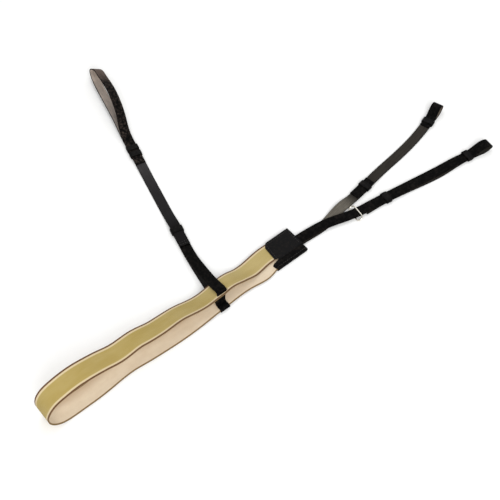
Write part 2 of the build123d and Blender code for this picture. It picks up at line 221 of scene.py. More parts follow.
@dataclass(frozen=True)
class Layout:
    """Turns places of the drawing, in millimetres, into the row frame, in metres.

    Args:
        origin: The drawing's origin in the row frame.
    """

    origin: Vector

    @classmethod
    def from_frame(cls) -> "Layout":
        """Find the drawing's origin from the corner of the tab's bottom patch."""
        corner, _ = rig.box("tab_bottom_patch")
        return cls(corner - Vector((8.0, -1.9, 0.0)) * MM)

    def point(self, place: Vector) -> Vector:
        """One place of the drawing in the row frame."""
        return self.origin + place * MM

    def matrix(self) -> Matrix:
        """The transform that takes a drawn mesh into the row frame."""
        return Matrix.Translation(self.origin) @ Matrix.Scale(MM, 4)


# ---------------------------------------------------------------- routes and stations
@dataclass(frozen=True)
class Station:
    """One cross-section's place on a route.

    Args:
        place: The middle of the section.
        course: Unit vector along the route.
        side: Unit vector across the strap.
        along: Distance from the route's start, in millimetres.
    """

    place: Vector
    course: Vector
    side: Vector
    along: float

    def matrix(self) -> Matrix:
        """Section axes: across the strap, out of its outer face, and along the route."""
        outward = self.side.cross(self.course)
        axes = Matrix((self.side, outward, self.course)).transposed().to_4x4()
        return Matrix.Translation(self.place) @ axes


class Route:
    """A smooth curve through a few points, with the strap's width held by a rule."""

    def __init__(self, knots: Sequence[Vector], across: AcrossRule) -> None:
        """Work out the curve's bending at each knot.

        Args:
            knots: The points that the curve goes through, in millimetres.
            across: Gives the direction across the strap at a place.
        """
        self.knots = list(knots)
        self.across = across
        self.gaps = [(after - before).length for before, after in zip(self.knots, self.knots[1:])]
        self.bends = self._solve_bends()

    def _solve_bends(self) -> list[Vector]:
        """Second derivatives of a natural cubic spline at the knots."""
        count = len(self.knots)
        bends = [Vector((0.0, 0.0, 0.0)) for _ in range(count)]
        carry = [0.0] * count
        for index in range(1, count - 1):
            before, after = self.gaps[index - 1], self.gaps[index]
            slope_out = (self.knots[index + 1] - self.knots[index]) / after
            slope_in = (self.knots[index] - self.knots[index - 1]) / before
            pivot = 2 * (before + after) - before * carry[index - 1]
            carry[index] = after / pivot
            bends[index] = (6 * (slope_out - slope_in) - before * bends[index - 1]) / pivot
        for index in range(count - 2, 0, -1):
            bends[index] = bends[index] - carry[index] * bends[index + 1]
        return bends

    def _on_span(self, index: int, share: float) -> tuple[Vector, Vector]:
        """Place and course at a share of the span between two neighbouring knots."""
        gap, rest = self.gaps[index], 1 - share
        start, end = self.knots[index], self.knots[index + 1]
        first, second = self.bends[index], self.bends[index + 1]
        bulge = (rest**3 - rest) * first + (share**3 - share) * second
        place = start * rest + end * share + bulge * (gap * gap / 6)
        lean = (1 - 3 * rest**2) * first + (3 * share**2 - 1) * second
        return place, ((end - start) / gap + lean * (gap / 6)).normalized()

    def stations(self, spacing: float = 4.0, turn: float = 6.0) -> list[Station]:
        """Place the cross-sections, closer together where the route bends.

        Args:
            spacing: Longest gap between sections, in millimetres.
            turn: Most that the course may turn between sections, in degrees.

        Returns:
            The stations, from the first knot to the last.
        """
        samples = []
        for index, gap in enumerate(self.gaps):
            steps = max(4, math.ceil(gap / 0.5))
            samples += [self._on_span(index, step / steps) for step in range(steps)]
        samples.append(self._on_span(len(self.gaps) - 1, 1.0))
        made: list[Station] = []
        along = 0.0
        previous = samples[0][0]
        for order, (place, course) in enumerate(samples):
            along += (place - previous).length
            previous = place
            if made and order < len(samples) - 1:
                turned = math.degrees(course.angle(made[-1].course))
                if turned < turn and along - made[-1].along < spacing:
                    continue
            side = self.across(place)
            side = (side - course * side.dot(course)).normalized()
            made.append(Station(place, course, side, along))
        return made


# ---------------------------------------------------------------- mesh tools
def rounded_outline(bm: bmesh.types.BMesh, width: float, height: float, corner: float,
                    steps: int = 2) -> None:
    """Draw a closed rounded rectangle of edges, centred on the origin.

    Args:
        bm: An empty mesh that takes the outline.
        width: Size along X.
        height: Size along Y.
        corner: Radius of the corners.
        steps: Edges round each corner.
    """
    made = bmesh.ops.create_grid(bm, x_segments=1, y_segments=1, size=0.5)
    bmesh.ops.scale(bm, vec=(width, height, 1.0), verts=made["verts"])
    bmesh.ops.bevel(bm, geom=bm.verts[:], offset=corner, segments=steps, affect="VERTICES",
                    profile=0.5, material=-1)
    bmesh.ops.delete(bm, geom=bm.faces[:], context="FACES_ONLY")


def extruded(bm: bmesh.types.BMesh, edges: Iterable[bmesh.types.BMEdge],
             ) -> tuple[list[bmesh.types.BMVert], list[bmesh.types.BMEdge]]:
    """Extrude a run of edges in place and return its new vertices and edges."""
    made = bmesh.ops.extrude_edge_only(bm, edges=list(edges))["geom"]
    verts = [item for item in made if isinstance(item, bmesh.types.BMVert)]
    return verts, [item for item in made if isinstance(item, bmesh.types.BMEdge)]


@dataclass(frozen=True)
class Section:
    """The cross-section of a flat strap.

    Args:
        width: Across the strap, in millimetres.
        low: Height of its inner face from the route.
        high: Height of its outer face from the route.
        corner: Radius of its long corners.
        columns: Faces across its outer and its inner side.
    """

    width: float
    low: float
    high: float
    corner: float
    columns: int

    def draw(self, bm: bmesh.types.BMesh) -> None:
        """Draw the section's closed outline in an empty mesh."""
        rounded_outline(bm, self.width, self.high - self.low, self.corner)
        long_edges = [edge for edge in bm.edges if edge.calc_length() > self.width / 2]
        bmesh.ops.subdivide_edges(bm, edges=long_edges, cuts=self.columns - 1)
        bmesh.ops.translate(bm, vec=(0.0, (self.low + self.high) / 2, 0.0), verts=bm.verts[:])


class Side(Enum):
    """Which finish of a strap a face takes."""

    OUTER = 0
    INNER = 1
    EDGE = 2


class StrapMesh:
    """A strap swept along stations, with its distances kept for the UV map."""

    def __init__(self, section: Section, stations: Sequence[Station]) -> None:
        """Sweep the section by extruding its outline from station to station.

        Args:
            section: The strap's cross-section.
            stations: Where the sections go.
        """
        self.section = section
        self.bm = bmesh.new()
        self.along = self.bm.verts.layers.float.new("along")
        self.across = self.bm.verts.layers.float.new("across")
        self.through = self.bm.verts.layers.float.new("through")
        section.draw(self.bm)
        for vert in self.bm.verts:
            vert[self.across] = vert.co.x
            vert[self.through] = (vert.co.y - section.low) / (section.high - section.low)
        first_edges = self.bm.edges[:]
        edges = first_edges
        bmesh.ops.transform(self.bm, matrix=stations[0].matrix(), verts=self.bm.verts[:])
        for before, after in zip(stations, stations[1:]):
            verts, edges = extruded(self.bm, edges)
            move = after.matrix() @ before.matrix().inverted()
            bmesh.ops.transform(self.bm, matrix=move, verts=verts)
            for vert in verts:
                vert[self.along] = after.along
        bmesh.ops.contextual_create(self.bm, geom=first_edges)
        bmesh.ops.contextual_create(self.bm, geom=edges)
        bmesh.ops.recalc_face_normals(self.bm, faces=self.bm.faces[:])

    def dress(self) -> None:
        """Give faces their finish by side, and map U along and V across in metres."""
        uv = self.bm.loops.layers.uv.new("UVMap")
        for face in self.bm.faces:
            depth = sum(vert[self.through] for vert in face.verts) / len(face.verts)
            face.material_index = Side.OUTER.value if depth > 0.97 else Side.EDGE.value
            if depth < 0.03:
                face.material_index = Side.INNER.value
            for loop in face.loops:
                loop[uv].uv = (loop.vert[self.along] * MM, loop.vert[self.across] * MM)


@dataclass(frozen=True)
class Workshop:
    """Turns drawn meshes into finished pieces of the scene.

    Args:
        layout: Where the drawing lies in the row frame.
    """

    layout: Layout

    def piece(self, name: str, bm: bmesh.types.BMesh, finishes: Sequence[bpy.types.Material],
              sharp: float = 42.0) -> bpy.types.Object:
        """Move a drawn mesh into the row frame and link it to the scene.

        Args:
            name: The piece's name.
            bm: The drawn mesh, which is freed.
            finishes: Its materials, in the order of its faces' material numbers.
            sharp: Angle in degrees over which an edge stays crisp.

        Returns:
            The new object, at the origin.
        """
        bmesh.ops.transform(bm, matrix=self.layout.matrix(), verts=bm.verts[:])
        mesh = bpy.data.meshes.new(name)
        bm.to_mesh(mesh)
        bm.free()
        mesh.shade_smooth()
        mesh.set_sharp_from_angle(angle=math.radians(sharp))
        for finish in finishes:
            mesh.materials.append(finish)
        made = bpy.data.objects.new(name, mesh)
        bpy.context.scene.collection.objects.link(made)
        LOG.info("%s: %d faces", name, len(mesh.polygons))
        return made

    def strap(self, name: str, section: Section, stations: Sequence[Station],
              finishes: Sequence[bpy.types.Material]) -> bpy.types.Object:
        """Sweep, dress and finish one strap."""
        mesh = StrapMesh(section, stations)
        mesh.dress()
        return self.piece(name, mesh.bm, finishes)


# ---------------------------------------------------------------- shader tools
def srgb(red: float, green: float, blue: float) -> Colour:
    """Linear colour with full alpha from screen values between 0 and 255."""
    def linear(value: float) -> float:
        """One channel without its display curve."""
        share = value / 255
        return share / 12.92 if share <= 0.04045 else ((share + 0.055) / 1.055) ** 2.4

    return linear(red), linear(green), linear(blue), 1.0


class Value:
    """A number in a shader, on which Python's operators add Math nodes."""

    def __init__(self, shader: "Shader", socket: bpy.types.NodeSocket) -> None:
        """Wrap the output socket of one of the shader's nodes."""
        self.shader = shader
        self.socket = socket

    def _math(self, operation: str, *terms: "Value | float") -> "Value":
        """Add a Math node and return its result."""
        made = self.shader.node("ShaderNodeMath", {"operation": operation}, dict(enumerate(terms)))
        return Value(self.shader, made.outputs[0])

    def __add__(self, other: "Value | float") -> "Value":
        """Sum."""
        return self._math("ADD", self, other)

    def __radd__(self, other: float) -> "Value":
        """Sum with the number first."""
        return self._math("ADD", other, self)

    def __sub__(self, other: "Value | float") -> "Value":
        """Difference."""
        return self._math("SUBTRACT", self, other)

    def __rsub__(self, other: float) -> "Value":
        """Difference with the number first."""
        return self._math("SUBTRACT", other, self)

    def __mul__(self, other: "Value | float") -> "Value":
        """Product."""
        return self._math("MULTIPLY", self, other)

    def __rmul__(self, other: float) -> "Value":
        """Product with the number first."""
        return self._math("MULTIPLY", other, self)

    def __truediv__(self, other: "Value | float") -> "Value":
        """Quotient."""
        return self._math("DIVIDE", self, other)

    def __rtruediv__(self, other: float) -> "Value":
        """Quotient with the number first."""
        return self._math("DIVIDE", other, self)

    def __pow__(self, other: "Value | float") -> "Value":
        """Power."""
        return self._math("POWER", self, other)

    def __abs__(self) -> "Value":
        """Size without its sign."""
        return self._math("ABSOLUTE", self)

    def sine(self) -> "Value":
        """Sine of an angle in radians."""
        return self._math("SINE", self)

    def wave(self, pitch: float) -> "Value":
        """A wave between 0 and 1 that repeats at a pitch."""
        return (self * (2 * math.pi / pitch)).sine() * 0.5 + 0.5

    def beyond(self, start: float, end: float) -> "Value":
        """Eased rise from 0 at start to 1 at end."""
        made = self.shader.node("ShaderNodeMapRange", {"interpolation_type": "SMOOTHSTEP"},
                                {"Value": self, "From Min": start, "From Max": end})
        return Value(self.shader, made.outputs["Result"])


class Shader:
    """A material whose nodes are written as Python expressions."""

    def __init__(self, name: str, **constants: float | Colour) -> None:
        """Start a Principled material.

        Args:
            name: The material's name.
            constants: Values set on the surface's own sockets, with _ for a space.
        """
        self.material = bpy.data.materials.new(name)
        self.material.use_nodes = True
        self.tree = self.material.node_tree
        self.tree.nodes.clear()
        self.surface = self.node("ShaderNodeBsdfPrincipled")
        self.node("ShaderNodeOutputMaterial", values={"Surface": self.surface.outputs["BSDF"]})
        for key, value in constants.items():
            self.surface.inputs[key.replace("_", " ")].default_value = value

    def node(self, kind: str, settings: dict | None = None,
             values: dict | None = None) -> bpy.types.Node:
        """Add a node.

        Args:
            kind: The node's type.
            settings: Its properties, with a colour ramp's stops under "stops".
            values: Its inputs by name or number, each a constant or something to link.

        Returns:
            The new node.
        """
        made = self.tree.nodes.new(kind)
        for key, value in (settings or {}).items():
            if key == "stops":
                self._set_stops(made.color_ramp, value)
            else:
                setattr(made, key, value)
        for key, value in (values or {}).items():
            source = value.socket if isinstance(value, Value) else value
            if isinstance(source, bpy.types.NodeSocket):
                self.tree.links.new(source, made.inputs[key])
            else:
                made.inputs[key].default_value = source
        return made

    @staticmethod
    def _set_stops(ramp: bpy.types.ColorRamp, stops: Sequence[tuple[float, Colour]]) -> None:
        """Replace a colour ramp's stops."""
        while len(ramp.elements) < len(stops):
            ramp.elements.new(1.0)
        for element, (position, colour) in zip(ramp.elements, stops):
            element.position = position
            element.color = colour

    def feed(self, name: str, source: "Value | bpy.types.NodeSocket") -> None:
        """Link something that varies to one of the surface's inputs."""
        socket = source.socket if isinstance(source, Value) else source
        self.tree.links.new(socket, self.surface.inputs[name])

    def coordinates(self, kind: str) -> bpy.types.NodeSocket:
        """The piece's own coordinates, either Object or UV."""
        return self.node("ShaderNodeTexCoord").outputs[kind]

    def strap_axes(self) -> tuple[Value, Value]:
        """Distances along and across a strap, in metres."""
        split = self.node("ShaderNodeSeparateXYZ", values={0: self.coordinates("UV")})
        return Value(self, split.outputs[0]), Value(self, split.outputs[1])

    def stretched(self, along: float, across: float) -> bpy.types.NodeSocket:
        """UV coordinates scaled by one number along the strap and another across it."""
        made = self.node("ShaderNodeVectorMath", {"operation": "MULTIPLY"},
                         {0: self.coordinates("UV"), 1: (along, across, 1.0)})
        return made.outputs[0]

    def noise(self, source: bpy.types.NodeSocket, scale: float, detail: float = 2.0,
              roughness: float = 0.5) -> Value:
        """Cloudy noise between 0 and 1."""
        made = self.node("ShaderNodeTexNoise", values={
            "Vector": source, "Scale": scale, "Detail": detail, "Roughness": roughness})
        return Value(self, made.outputs[0])

    def cells(self, source: bpy.types.NodeSocket, scale: float) -> Value:
        """Distance from the middle of the nearest rounded cell."""
        made = self.node("ShaderNodeTexVoronoi", {"feature": "SMOOTH_F1"},
                         {"Vector": source, "Scale": scale, "Smoothness": 0.4})
        return Value(self, made.outputs["Distance"])

    def mixed(self, share: "Value | float", first: "Colour | bpy.types.NodeSocket",
              second: "Colour | bpy.types.NodeSocket") -> bpy.types.NodeSocket:
        """A colour between two others."""
        made = self.node("ShaderNodeMix", {"data_type": "RGBA"}, {0: share, 6: first, 7: second})
        return made.outputs[2]

    def relief(self, height: Value, depth: float, strength: float = 1.0) -> None:
        """Raise the surface by a height between 0 and 1, times a depth in metres."""
        bump = self.node("ShaderNodeBump", values={
            "Height": height, "Distance": depth, "Strength": strength})
        self.feed("Normal", bump.outputs["Normal"])


# ---------------------------------------------------------------- finishes
@dataclass(frozen=True)
class WebbingFinish:
    """Woven olive webbing with a cream stripe and a brown border at each edge.

    Args:
        name: The material's name.
        half_width: Half the webbing's width, in millimetres.
        border: Width of the brown border.
        stripe: Width of the cream stripe inside it.
        rib_pitch: Pitch of the ribs that run across the web.
        warp_pitch: Pitch of the yarns that run along it.
        deep: The field's darker olive.
        pale: Its lighter olive, where it is faded.
        cream: The stripe's colour.
        brown: The border's colour.
    """

    name: str = "olive_webbing"
    half_width: float = 19.0
    border: float = 2.8
    stripe: float = 3.0
    rib_pitch: float = 1.3
    warp_pitch: float = 0.9
    deep: Colour = srgb(160, 139, 72)
    pale: Colour = srgb(181, 163, 108)
    cream: Colour = srgb(206, 188, 150)
    brown: Colour = srgb(96, 66, 50)

    def make(self) -> bpy.types.Material:
        """Build the material."""
        shader = Shader(self.name, Roughness=0.82, Specular_IOR_Level=0.12, Sheen_Weight=0.06,
                        Sheen_Roughness=0.5)
        along, across = shader.strap_axes()
        plain = shader.coordinates("UV")
        fuzz = (shader.noise(plain, 900.0) - 0.5) * 0.0009
        edge = abs(across) + fuzz
        border_at = (self.half_width - self.border) * MM
        stripe_at = border_at - self.stripe * MM
        on_stripe = edge.beyond(stripe_at - 0.0003, stripe_at + 0.0003)
        on_border = edge.beyond(border_at - 0.0003, border_at + 0.0003)
        ribs = along.wave(self.rib_pitch * MM)
        yarns = across.wave(self.warp_pitch * MM)
        cloud = shader.noise(shader.stretched(1.0, 2.5), 22.0, 4.0)
        streak = shader.noise(shader.stretched(0.12, 4.0), 260.0, 3.0)
        faded = along.beyond(0.72, 1.08)
        field_colour = shader.mixed((cloud - 0.4) * 1.2 + faded * 0.6, self.deep, self.pale)
        field_colour = shader.mixed(streak * 0.22, field_colour, self.cream)
        colour = shader.mixed(on_stripe, field_colour, self.cream)
        colour = shader.mixed(on_border, colour, self.brown)
        shade = (1 - ribs) * (1 - yarns) * 0.28
        colour = shader.mixed(shade, colour, srgb(84, 66, 34))
        shader.feed("Base Color", colour)
        shader.feed("Roughness", 0.72 + 0.16 * streak)
        shader.relief(ribs * 0.6 + yarns * 0.4 + shader.noise(plain, 1500.0) * 0.4, 0.00022)
        return shader.material


@dataclass(frozen=True)
class LiningFinish:
    """Soft beige lining cloth with a fine twill and a little pilling.

    Args:
        name: The material's name.
        light: Its colour where the nap lies flat.
        dark: Its colour where the nap stands.
        edge: The colour of its cut edges.
        under_layer_shade: Painted shade, a browner tone on the side away from the harness's near edge, where the upper
            layer overhangs the lining.
    """

    name: str = "beige_lining"
    light: Colour = srgb(218, 202, 178)
    dark: Colour = srgb(200, 180, 152)
    edge: Colour = srgb(134, 110, 76)
    under_layer_shade: Colour = srgb(142, 104, 68)

    def make(self) -> bpy.types.Material:
        """Build the material."""
        shader = Shader(self.name, Roughness=0.9, Specular_IOR_Level=0.12, Sheen_Weight=0.08,
                        Sheen_Roughness=0.6)
        along, across = shader.strap_axes()
        plain = shader.coordinates("UV")
        twill = (along + across).wave(0.0011)
        cloud = shader.noise(shader.stretched(1.0, 1.8), 34.0, 5.0, 0.6)
        nap = shader.noise(plain, 1300.0, 3.0)
        colour = shader.mixed((cloud - 0.3) * 1.5, self.light, self.dark)
        colour = shader.mixed((1 - twill) * nap * 0.22, colour, self.edge)
        # Painted shade: the lining turns browner towards the side away from its near edge, where the upper layer
        # overhangs it.
        colour = shader.mixed((across * -1.0).beyond(0.0, 0.018) * 0.45, colour, self.under_layer_shade)
        colour = shader.mixed(abs(across).beyond(0.0166, 0.0176), colour, self.edge)
        shader.feed("Base Color", colour)
        shader.feed("Roughness", 0.84 + 0.12 * nap)
        shader.relief(twill * 0.5 + nap * 0.7, 0.00018)
        return shader.material


@dataclass(frozen=True)
class SelvedgeFinish:
    """The webbing's bound edges and bare back: coarse brown yarn laid along the web.

    Args:
        name: The material's name.
        dye: The yarn's colour.
        worn: Its colour where it is rubbed.
        pitch: Pitch of the turns of yarn, in millimetres.
    """

    name: str = "webbing_selvedge"
    dye: Colour = srgb(92, 72, 46)
    worn: Colour = srgb(138, 116, 78)
    pitch: float = 1.3

    def make(self) -> bpy.types.Material:
        """Build the material."""
        shader = Shader(self.name, Roughness=0.85, Specular_IOR_Level=0.1)
        along, _ = shader.strap_axes()
        turns = along.wave(self.pitch * MM)
        fuzz = shader.noise(shader.coordinates("UV"), 900.0, 3.0)
        shader.feed("Base Color", shader.mixed(turns * 0.4 + fuzz * 0.5, self.dye, self.worn))
        shader.feed("Roughness", 0.76 + 0.2 * fuzz)
        shader.relief(turns * 0.6 + fuzz * 0.5, 0.0002)
        return shader.material


@dataclass(frozen=True)
class GrainFinish:
    """Black bridle leather, grain side: pebbled, dyed and a little rubbed at its edges.

    Args:
        name: The material's name.
        dye: Its main colour.
        rubbed: The colour that shows through where it is rubbed.
        cell: Size of the grain's cells, in millimetres.
        depth: Depth of the grain, in millimetres.
        roughness: How dull the surface is, from 0 to 1.
        shine: How strongly it mirrors the lights.
        half_width: Half the strap's width, or nothing for a piece with no UV map.
        low_step_shade: Painted shade on the low step of a stepped piece, if it has one: its colour there, darker than
            the high step, whose dye stands for its lit colour.
        step: Heights between which the painted shade of the low step gives way, in millimetres.
        worn_at: Middle of a worn stretch along the strap, if there is one, in millimetres.
        worn_reach: Distances from it at which the wear starts to fade and ends.
        crease_inset: Distance of the pressed line from the strap's edge.
        crease_width: Half the width of that line.
        rim_width: Width of the rubbed rim.
    """

    name: str
    dye: Colour = srgb(3, 3, 3)
    rubbed: Colour = srgb(34, 30, 27)
    cell: float = 0.9
    depth: float = 0.12
    roughness: float = 0.5
    shine: float = 0.025
    half_width: float | None = 10.0
    low_step_shade: Colour | None = None
    step: tuple[float, float] = (6.2, 8.2)
    worn_at: float | None = None
    worn_reach: tuple[float, float] = (12.0, 70.0)
    crease_inset: float = 1.8
    crease_width: float = 0.35
    rim_width: float = 1.2

    def make(self) -> bpy.types.Material:
        """Build the material."""
        shader = Shader(self.name, Specular_IOR_Level=self.shine, Coat_Roughness=0.35)
        place = shader.coordinates("Object")
        cells = shader.cells(place, 1000.0 / self.cell)
        creases = shader.noise(place, 240.0, 5.0, 0.6)
        cloud = shader.noise(place, 60.0, 3.0)
        rub = (creases - 0.45).beyond(0.0, 0.25) * 0.4 + (cloud - 0.5).beyond(0.0, 0.3) * 0.3
        height = (1 - cells) * 0.55 + creases * 0.6
        if self.half_width is not None:
            along, across = shader.strap_axes()
            rim = self.half_width * MM
            line_at = rim - self.crease_inset * MM
            off_line = abs(abs(across) - line_at) / (self.crease_width * MM)
            crease_line = 1 - off_line.beyond(0.0, 1.0)
            rub = rub + abs(across).beyond(rim - self.rim_width * MM, rim) * 0.45
            height = height - crease_line * 1.2
            if self.worn_at is not None:
                away = abs(along - self.worn_at * MM)
                fade = away.beyond(*(reach * MM for reach in self.worn_reach))
                rub = rub + (1 - fade) * 0.9
        dye = self.dye
        # Painted light and shade: the low step takes the darker shaded colour and the high step the lighter lit one.
        if self.low_step_shade is not None:
            split = shader.node("ShaderNodeSeparateXYZ", values={0: place})
            raised = Value(shader, split.outputs[2]).beyond(*(edge * MM for edge in self.step))
            dye = shader.mixed(raised, self.low_step_shade, self.dye)
        shader.feed("Base Color", shader.mixed(rub, dye, self.rubbed))
        shader.feed("Roughness", self.roughness - 0.14 * cloud + 0.2 * cells)
        shader.feed("Coat Weight", 0.03 * creases)
        shader.relief(height, self.depth * MM)
        return shader.material


@dataclass(frozen=True)
class FleshFinish:
    """The undyed back of a strap: short suede fibres, its tone changing along the strap.

    Args:
        name: The material's name.
        tones: Distances along the strap, in millimetres, and the colour at each.
    """

    name: str
    tones: tuple[tuple[float, Colour], ...]

    def make(self) -> bpy.types.Material:
        """Build the material."""
        shader = Shader(self.name, Specular_IOR_Level=0.06, Sheen_Weight=0.04, Sheen_Roughness=0.6)
        along, across = shader.strap_axes()
        plain = shader.coordinates("UV")
        fibres = shader.noise(shader.stretched(0.35, 1.0), 1100.0, 4.0, 0.65)
        patches = shader.noise(plain, 95.0, 4.0, 0.6)
        colour = self.tones[0][1]
        for (start, _), (end, tone) in zip(self.tones, self.tones[1:]):
            colour = shader.mixed(along.beyond(start * MM, end * MM), colour, tone)
        streaks = shader.noise(shader.stretched(0.06, 1.0), 520.0, 3.0, 0.6)
        streaked = (streaks - 0.5).beyond(-0.1, 0.2)
        darker = (1 - fibres) * 0.35 + (patches - 0.5) * 0.5 + streaked * 0.35
        colour = shader.mixed(darker, colour, srgb(14, 12, 11))
        colour = shader.mixed(abs(across).beyond(0.0088, 0.0099) * 0.8, colour, srgb(12, 11, 10))
        shader.feed("Base Color", colour)
        shader.feed("Roughness", 0.8 + 0.18 * fibres)
        shader.relief(fibres + patches * 0.8, 0.0002)
        return shader.material


@dataclass(frozen=True)
class ThreadFinish:
    """Waxed black thread whose twist shows as fine slanted lines, with a painted highlight on their crests.

    Args:
        name: The material's name.
        dye: The thread's colour.
        shine: Painted highlight, the thread's colour on the crests of the twist.
    """

    name: str = "black_thread"
    dye: Colour = srgb(26, 25, 24)
    shine: Colour = srgb(74, 71, 67)

    def make(self) -> bpy.types.Material:
        """Build the material."""
        shader = Shader(self.name, Roughness=0.5, Specular_IOR_Level=0.5)
        split = shader.node("ShaderNodeSeparateXYZ", values={0: shader.coordinates("Object")})
        slant = Value(shader, split.outputs[0]) + Value(shader, split.outputs[1])
        twist = slant.wave(0.0005)
        # Painted highlight: the crests of the twist are mixed towards the shine colour.
        shader.feed("Base Color", shader.mixed(twist * 0.7, self.dye, self.shine))
        shader.feed("Roughness", 0.42 + 0.2 * twist)
        shader.relief(twist, 0.00008)
        return shader.material


@dataclass(frozen=True)
class WireFinish:
    """Bright plated wire with fine scratches and dull spots.

    Args:
        name: The material's name.
        bright: Its colour where the plating is whole.
        dull: Its colour where it is worn.
    """

    name: str = "ring_wire"
    bright: Colour = srgb(222, 217, 206)
    dull: Colour = srgb(150, 143, 130)

    def make(self) -> bpy.types.Material:
        """Build the material."""
        shader = Shader(self.name, Metallic=1.0)
        place = shader.coordinates("Object")
        scratches = shader.noise(place, 1600.0, 4.0, 0.7)
        spots = shader.noise(place, 320.0, 3.0)
        worn = (spots - 0.5).beyond(0.0, 0.25) * 0.5
        shader.feed("Base Color", shader.mixed(worn, self.bright, self.dull))
        shader.feed("Roughness", 0.14 + 0.14 * scratches + 0.16 * worn)
        shader.relief(scratches, 0.00003)
        return shader.material


@dataclass(frozen=True)
class FloorFinish:
    """Plain pale backdrop paper.

    Args:
        name: The material's name.
        tone: How light it is, from 0 to 1.
    """

    name: str = "backdrop_paper"
    tone: float = 0.93

    def make(self) -> bpy.types.Material:
        """Build the material."""
        shader = Shader(self.name, Roughness=0.95, Specular_IOR_Level=0.1)
        fibre = shader.noise(shader.coordinates("Object"), 14.0, 3.0)
        pale = (self.tone, self.tone, self.tone, 1.0)
        warm = (self.tone, self.tone, self.tone * 0.985, 1.0)
        shader.feed("Base Color", shader.mixed(fibre, pale, warm))
        return shader.material


class Finishes:
    """Every material of the harness, made once and shared by its pieces."""

    def __init__(self) -> None:
        """Make the materials."""
        self.webbing = WebbingFinish().make()
        self.lining = LiningFinish().make()
        self.selvedge = SelvedgeFinish().make()
        self.grain = GrainFinish("black_strap").make()
        self.keeper = GrainFinish("black_keeper", depth=0.09, roughness=0.4, shine=0.06,
                                  half_width=None).make()
        # Painted light and shade on the tab: its high step is painted a lit dark grey and its low step a shaded black.
        self.tab = GrainFinish("tab_leather", dye=srgb(17, 17, 18), cell=1.5, depth=0.3,
                               roughness=0.46, shine=0.035, half_width=None,
                               low_step_shade=srgb(3, 3, 3)).make()
        self.hand_grain = GrainFinish("hand_loop_grain", rubbed=srgb(92, 80, 73),
                                      worn_at=226.0).make()
        self.edge = GrainFinish("strap_edge", rubbed=srgb(46, 38, 32), depth=0.05, roughness=0.6,
                                half_width=None).make()
        # Painted light: the under strap's flesh side is painted lighter, in the slate tone, from 86 to 132 mm along
        # it, about where it rolls clear of the trunk.
        dark, painted_lit_slate = srgb(46, 43, 38), srgb(106, 101, 92)
        self.flesh_side = FleshFinish("flesh_side", ((0, srgb(44, 42, 42)),
                                                     (60, srgb(36, 34, 34)))).make()
        self.flesh_run = FleshFinish("flesh_side_run", (
            (50, srgb(14, 13, 14)), (85, srgb(32, 31, 32)), (130, srgb(36, 35, 36)),
            (220, srgb(60, 58, 59)))).make()
        self.flesh_under = FleshFinish("flesh_under_strap", (
            (60, dark), (86, painted_lit_slate), (132, painted_lit_slate), (168, dark), (405, srgb(52, 48, 43)),
            (440, srgb(112, 100, 88)))).make()
        self.flesh_top = FleshFinish("flesh_top_strap", ((0, dark), (60, dark))).make()
        self.flesh_hand = FleshFinish("flesh_hand_loop", (
            (0, srgb(150, 142, 136)), (60, srgb(156, 147, 140)), (220, srgb(194, 180, 168)))).make()
        self.thread = ThreadFinish().make()
        self.wire = WireFinish().make()

    def strap(self, flesh: bpy.types.Material) -> list[bpy.types.Material]:
        """The finishes of a strap's outer face, inner face and edges."""
        return [self.grain, flesh, self.edge]

    def turned(self, flesh: bpy.types.Material) -> list[bpy.types.Material]:
        """The finishes of a strap that is laid with its flesh side outwards."""
        grain = self.hand_grain if flesh == self.flesh_hand else self.grain
        return [flesh, grain, self.edge]


# ---------------------------------------------------------------- small parts
@dataclass(frozen=True)
class Strapping:
    """Sizes that every leather strap shares, in millimetres.

    Args:
        width: Across a strap.
        thick: Through it.
        gap: Air between two straps in a stack.
        keeper_wall: Thickness of a keeper's leather.
        keeper_play: Air between a keeper and the stack in height.
        keeper_slack: Air between a keeper and the stack on each side.
        keeper_length: A keeper's length along the strap.
    """

    width: float = 20.0
    thick: float = 2.0
    gap: float = 0.3
    keeper_wall: float = 1.3
    keeper_play: float = 0.3
    keeper_slack: float = 0.5
    keeper_length: float = 12.0

    def layer(self, order: int) -> float:
        """Height of the middle of the strap lying first, second or third in a stack."""
        lowest = self.keeper_wall + self.keeper_play + self.thick / 2
        return lowest + (order - 1) * (self.thick + self.gap)

    def section(self) -> Section:
        """The cross-section of a leather strap."""
        return Section(self.width, -self.thick / 2, self.thick / 2, 0.55, 8)


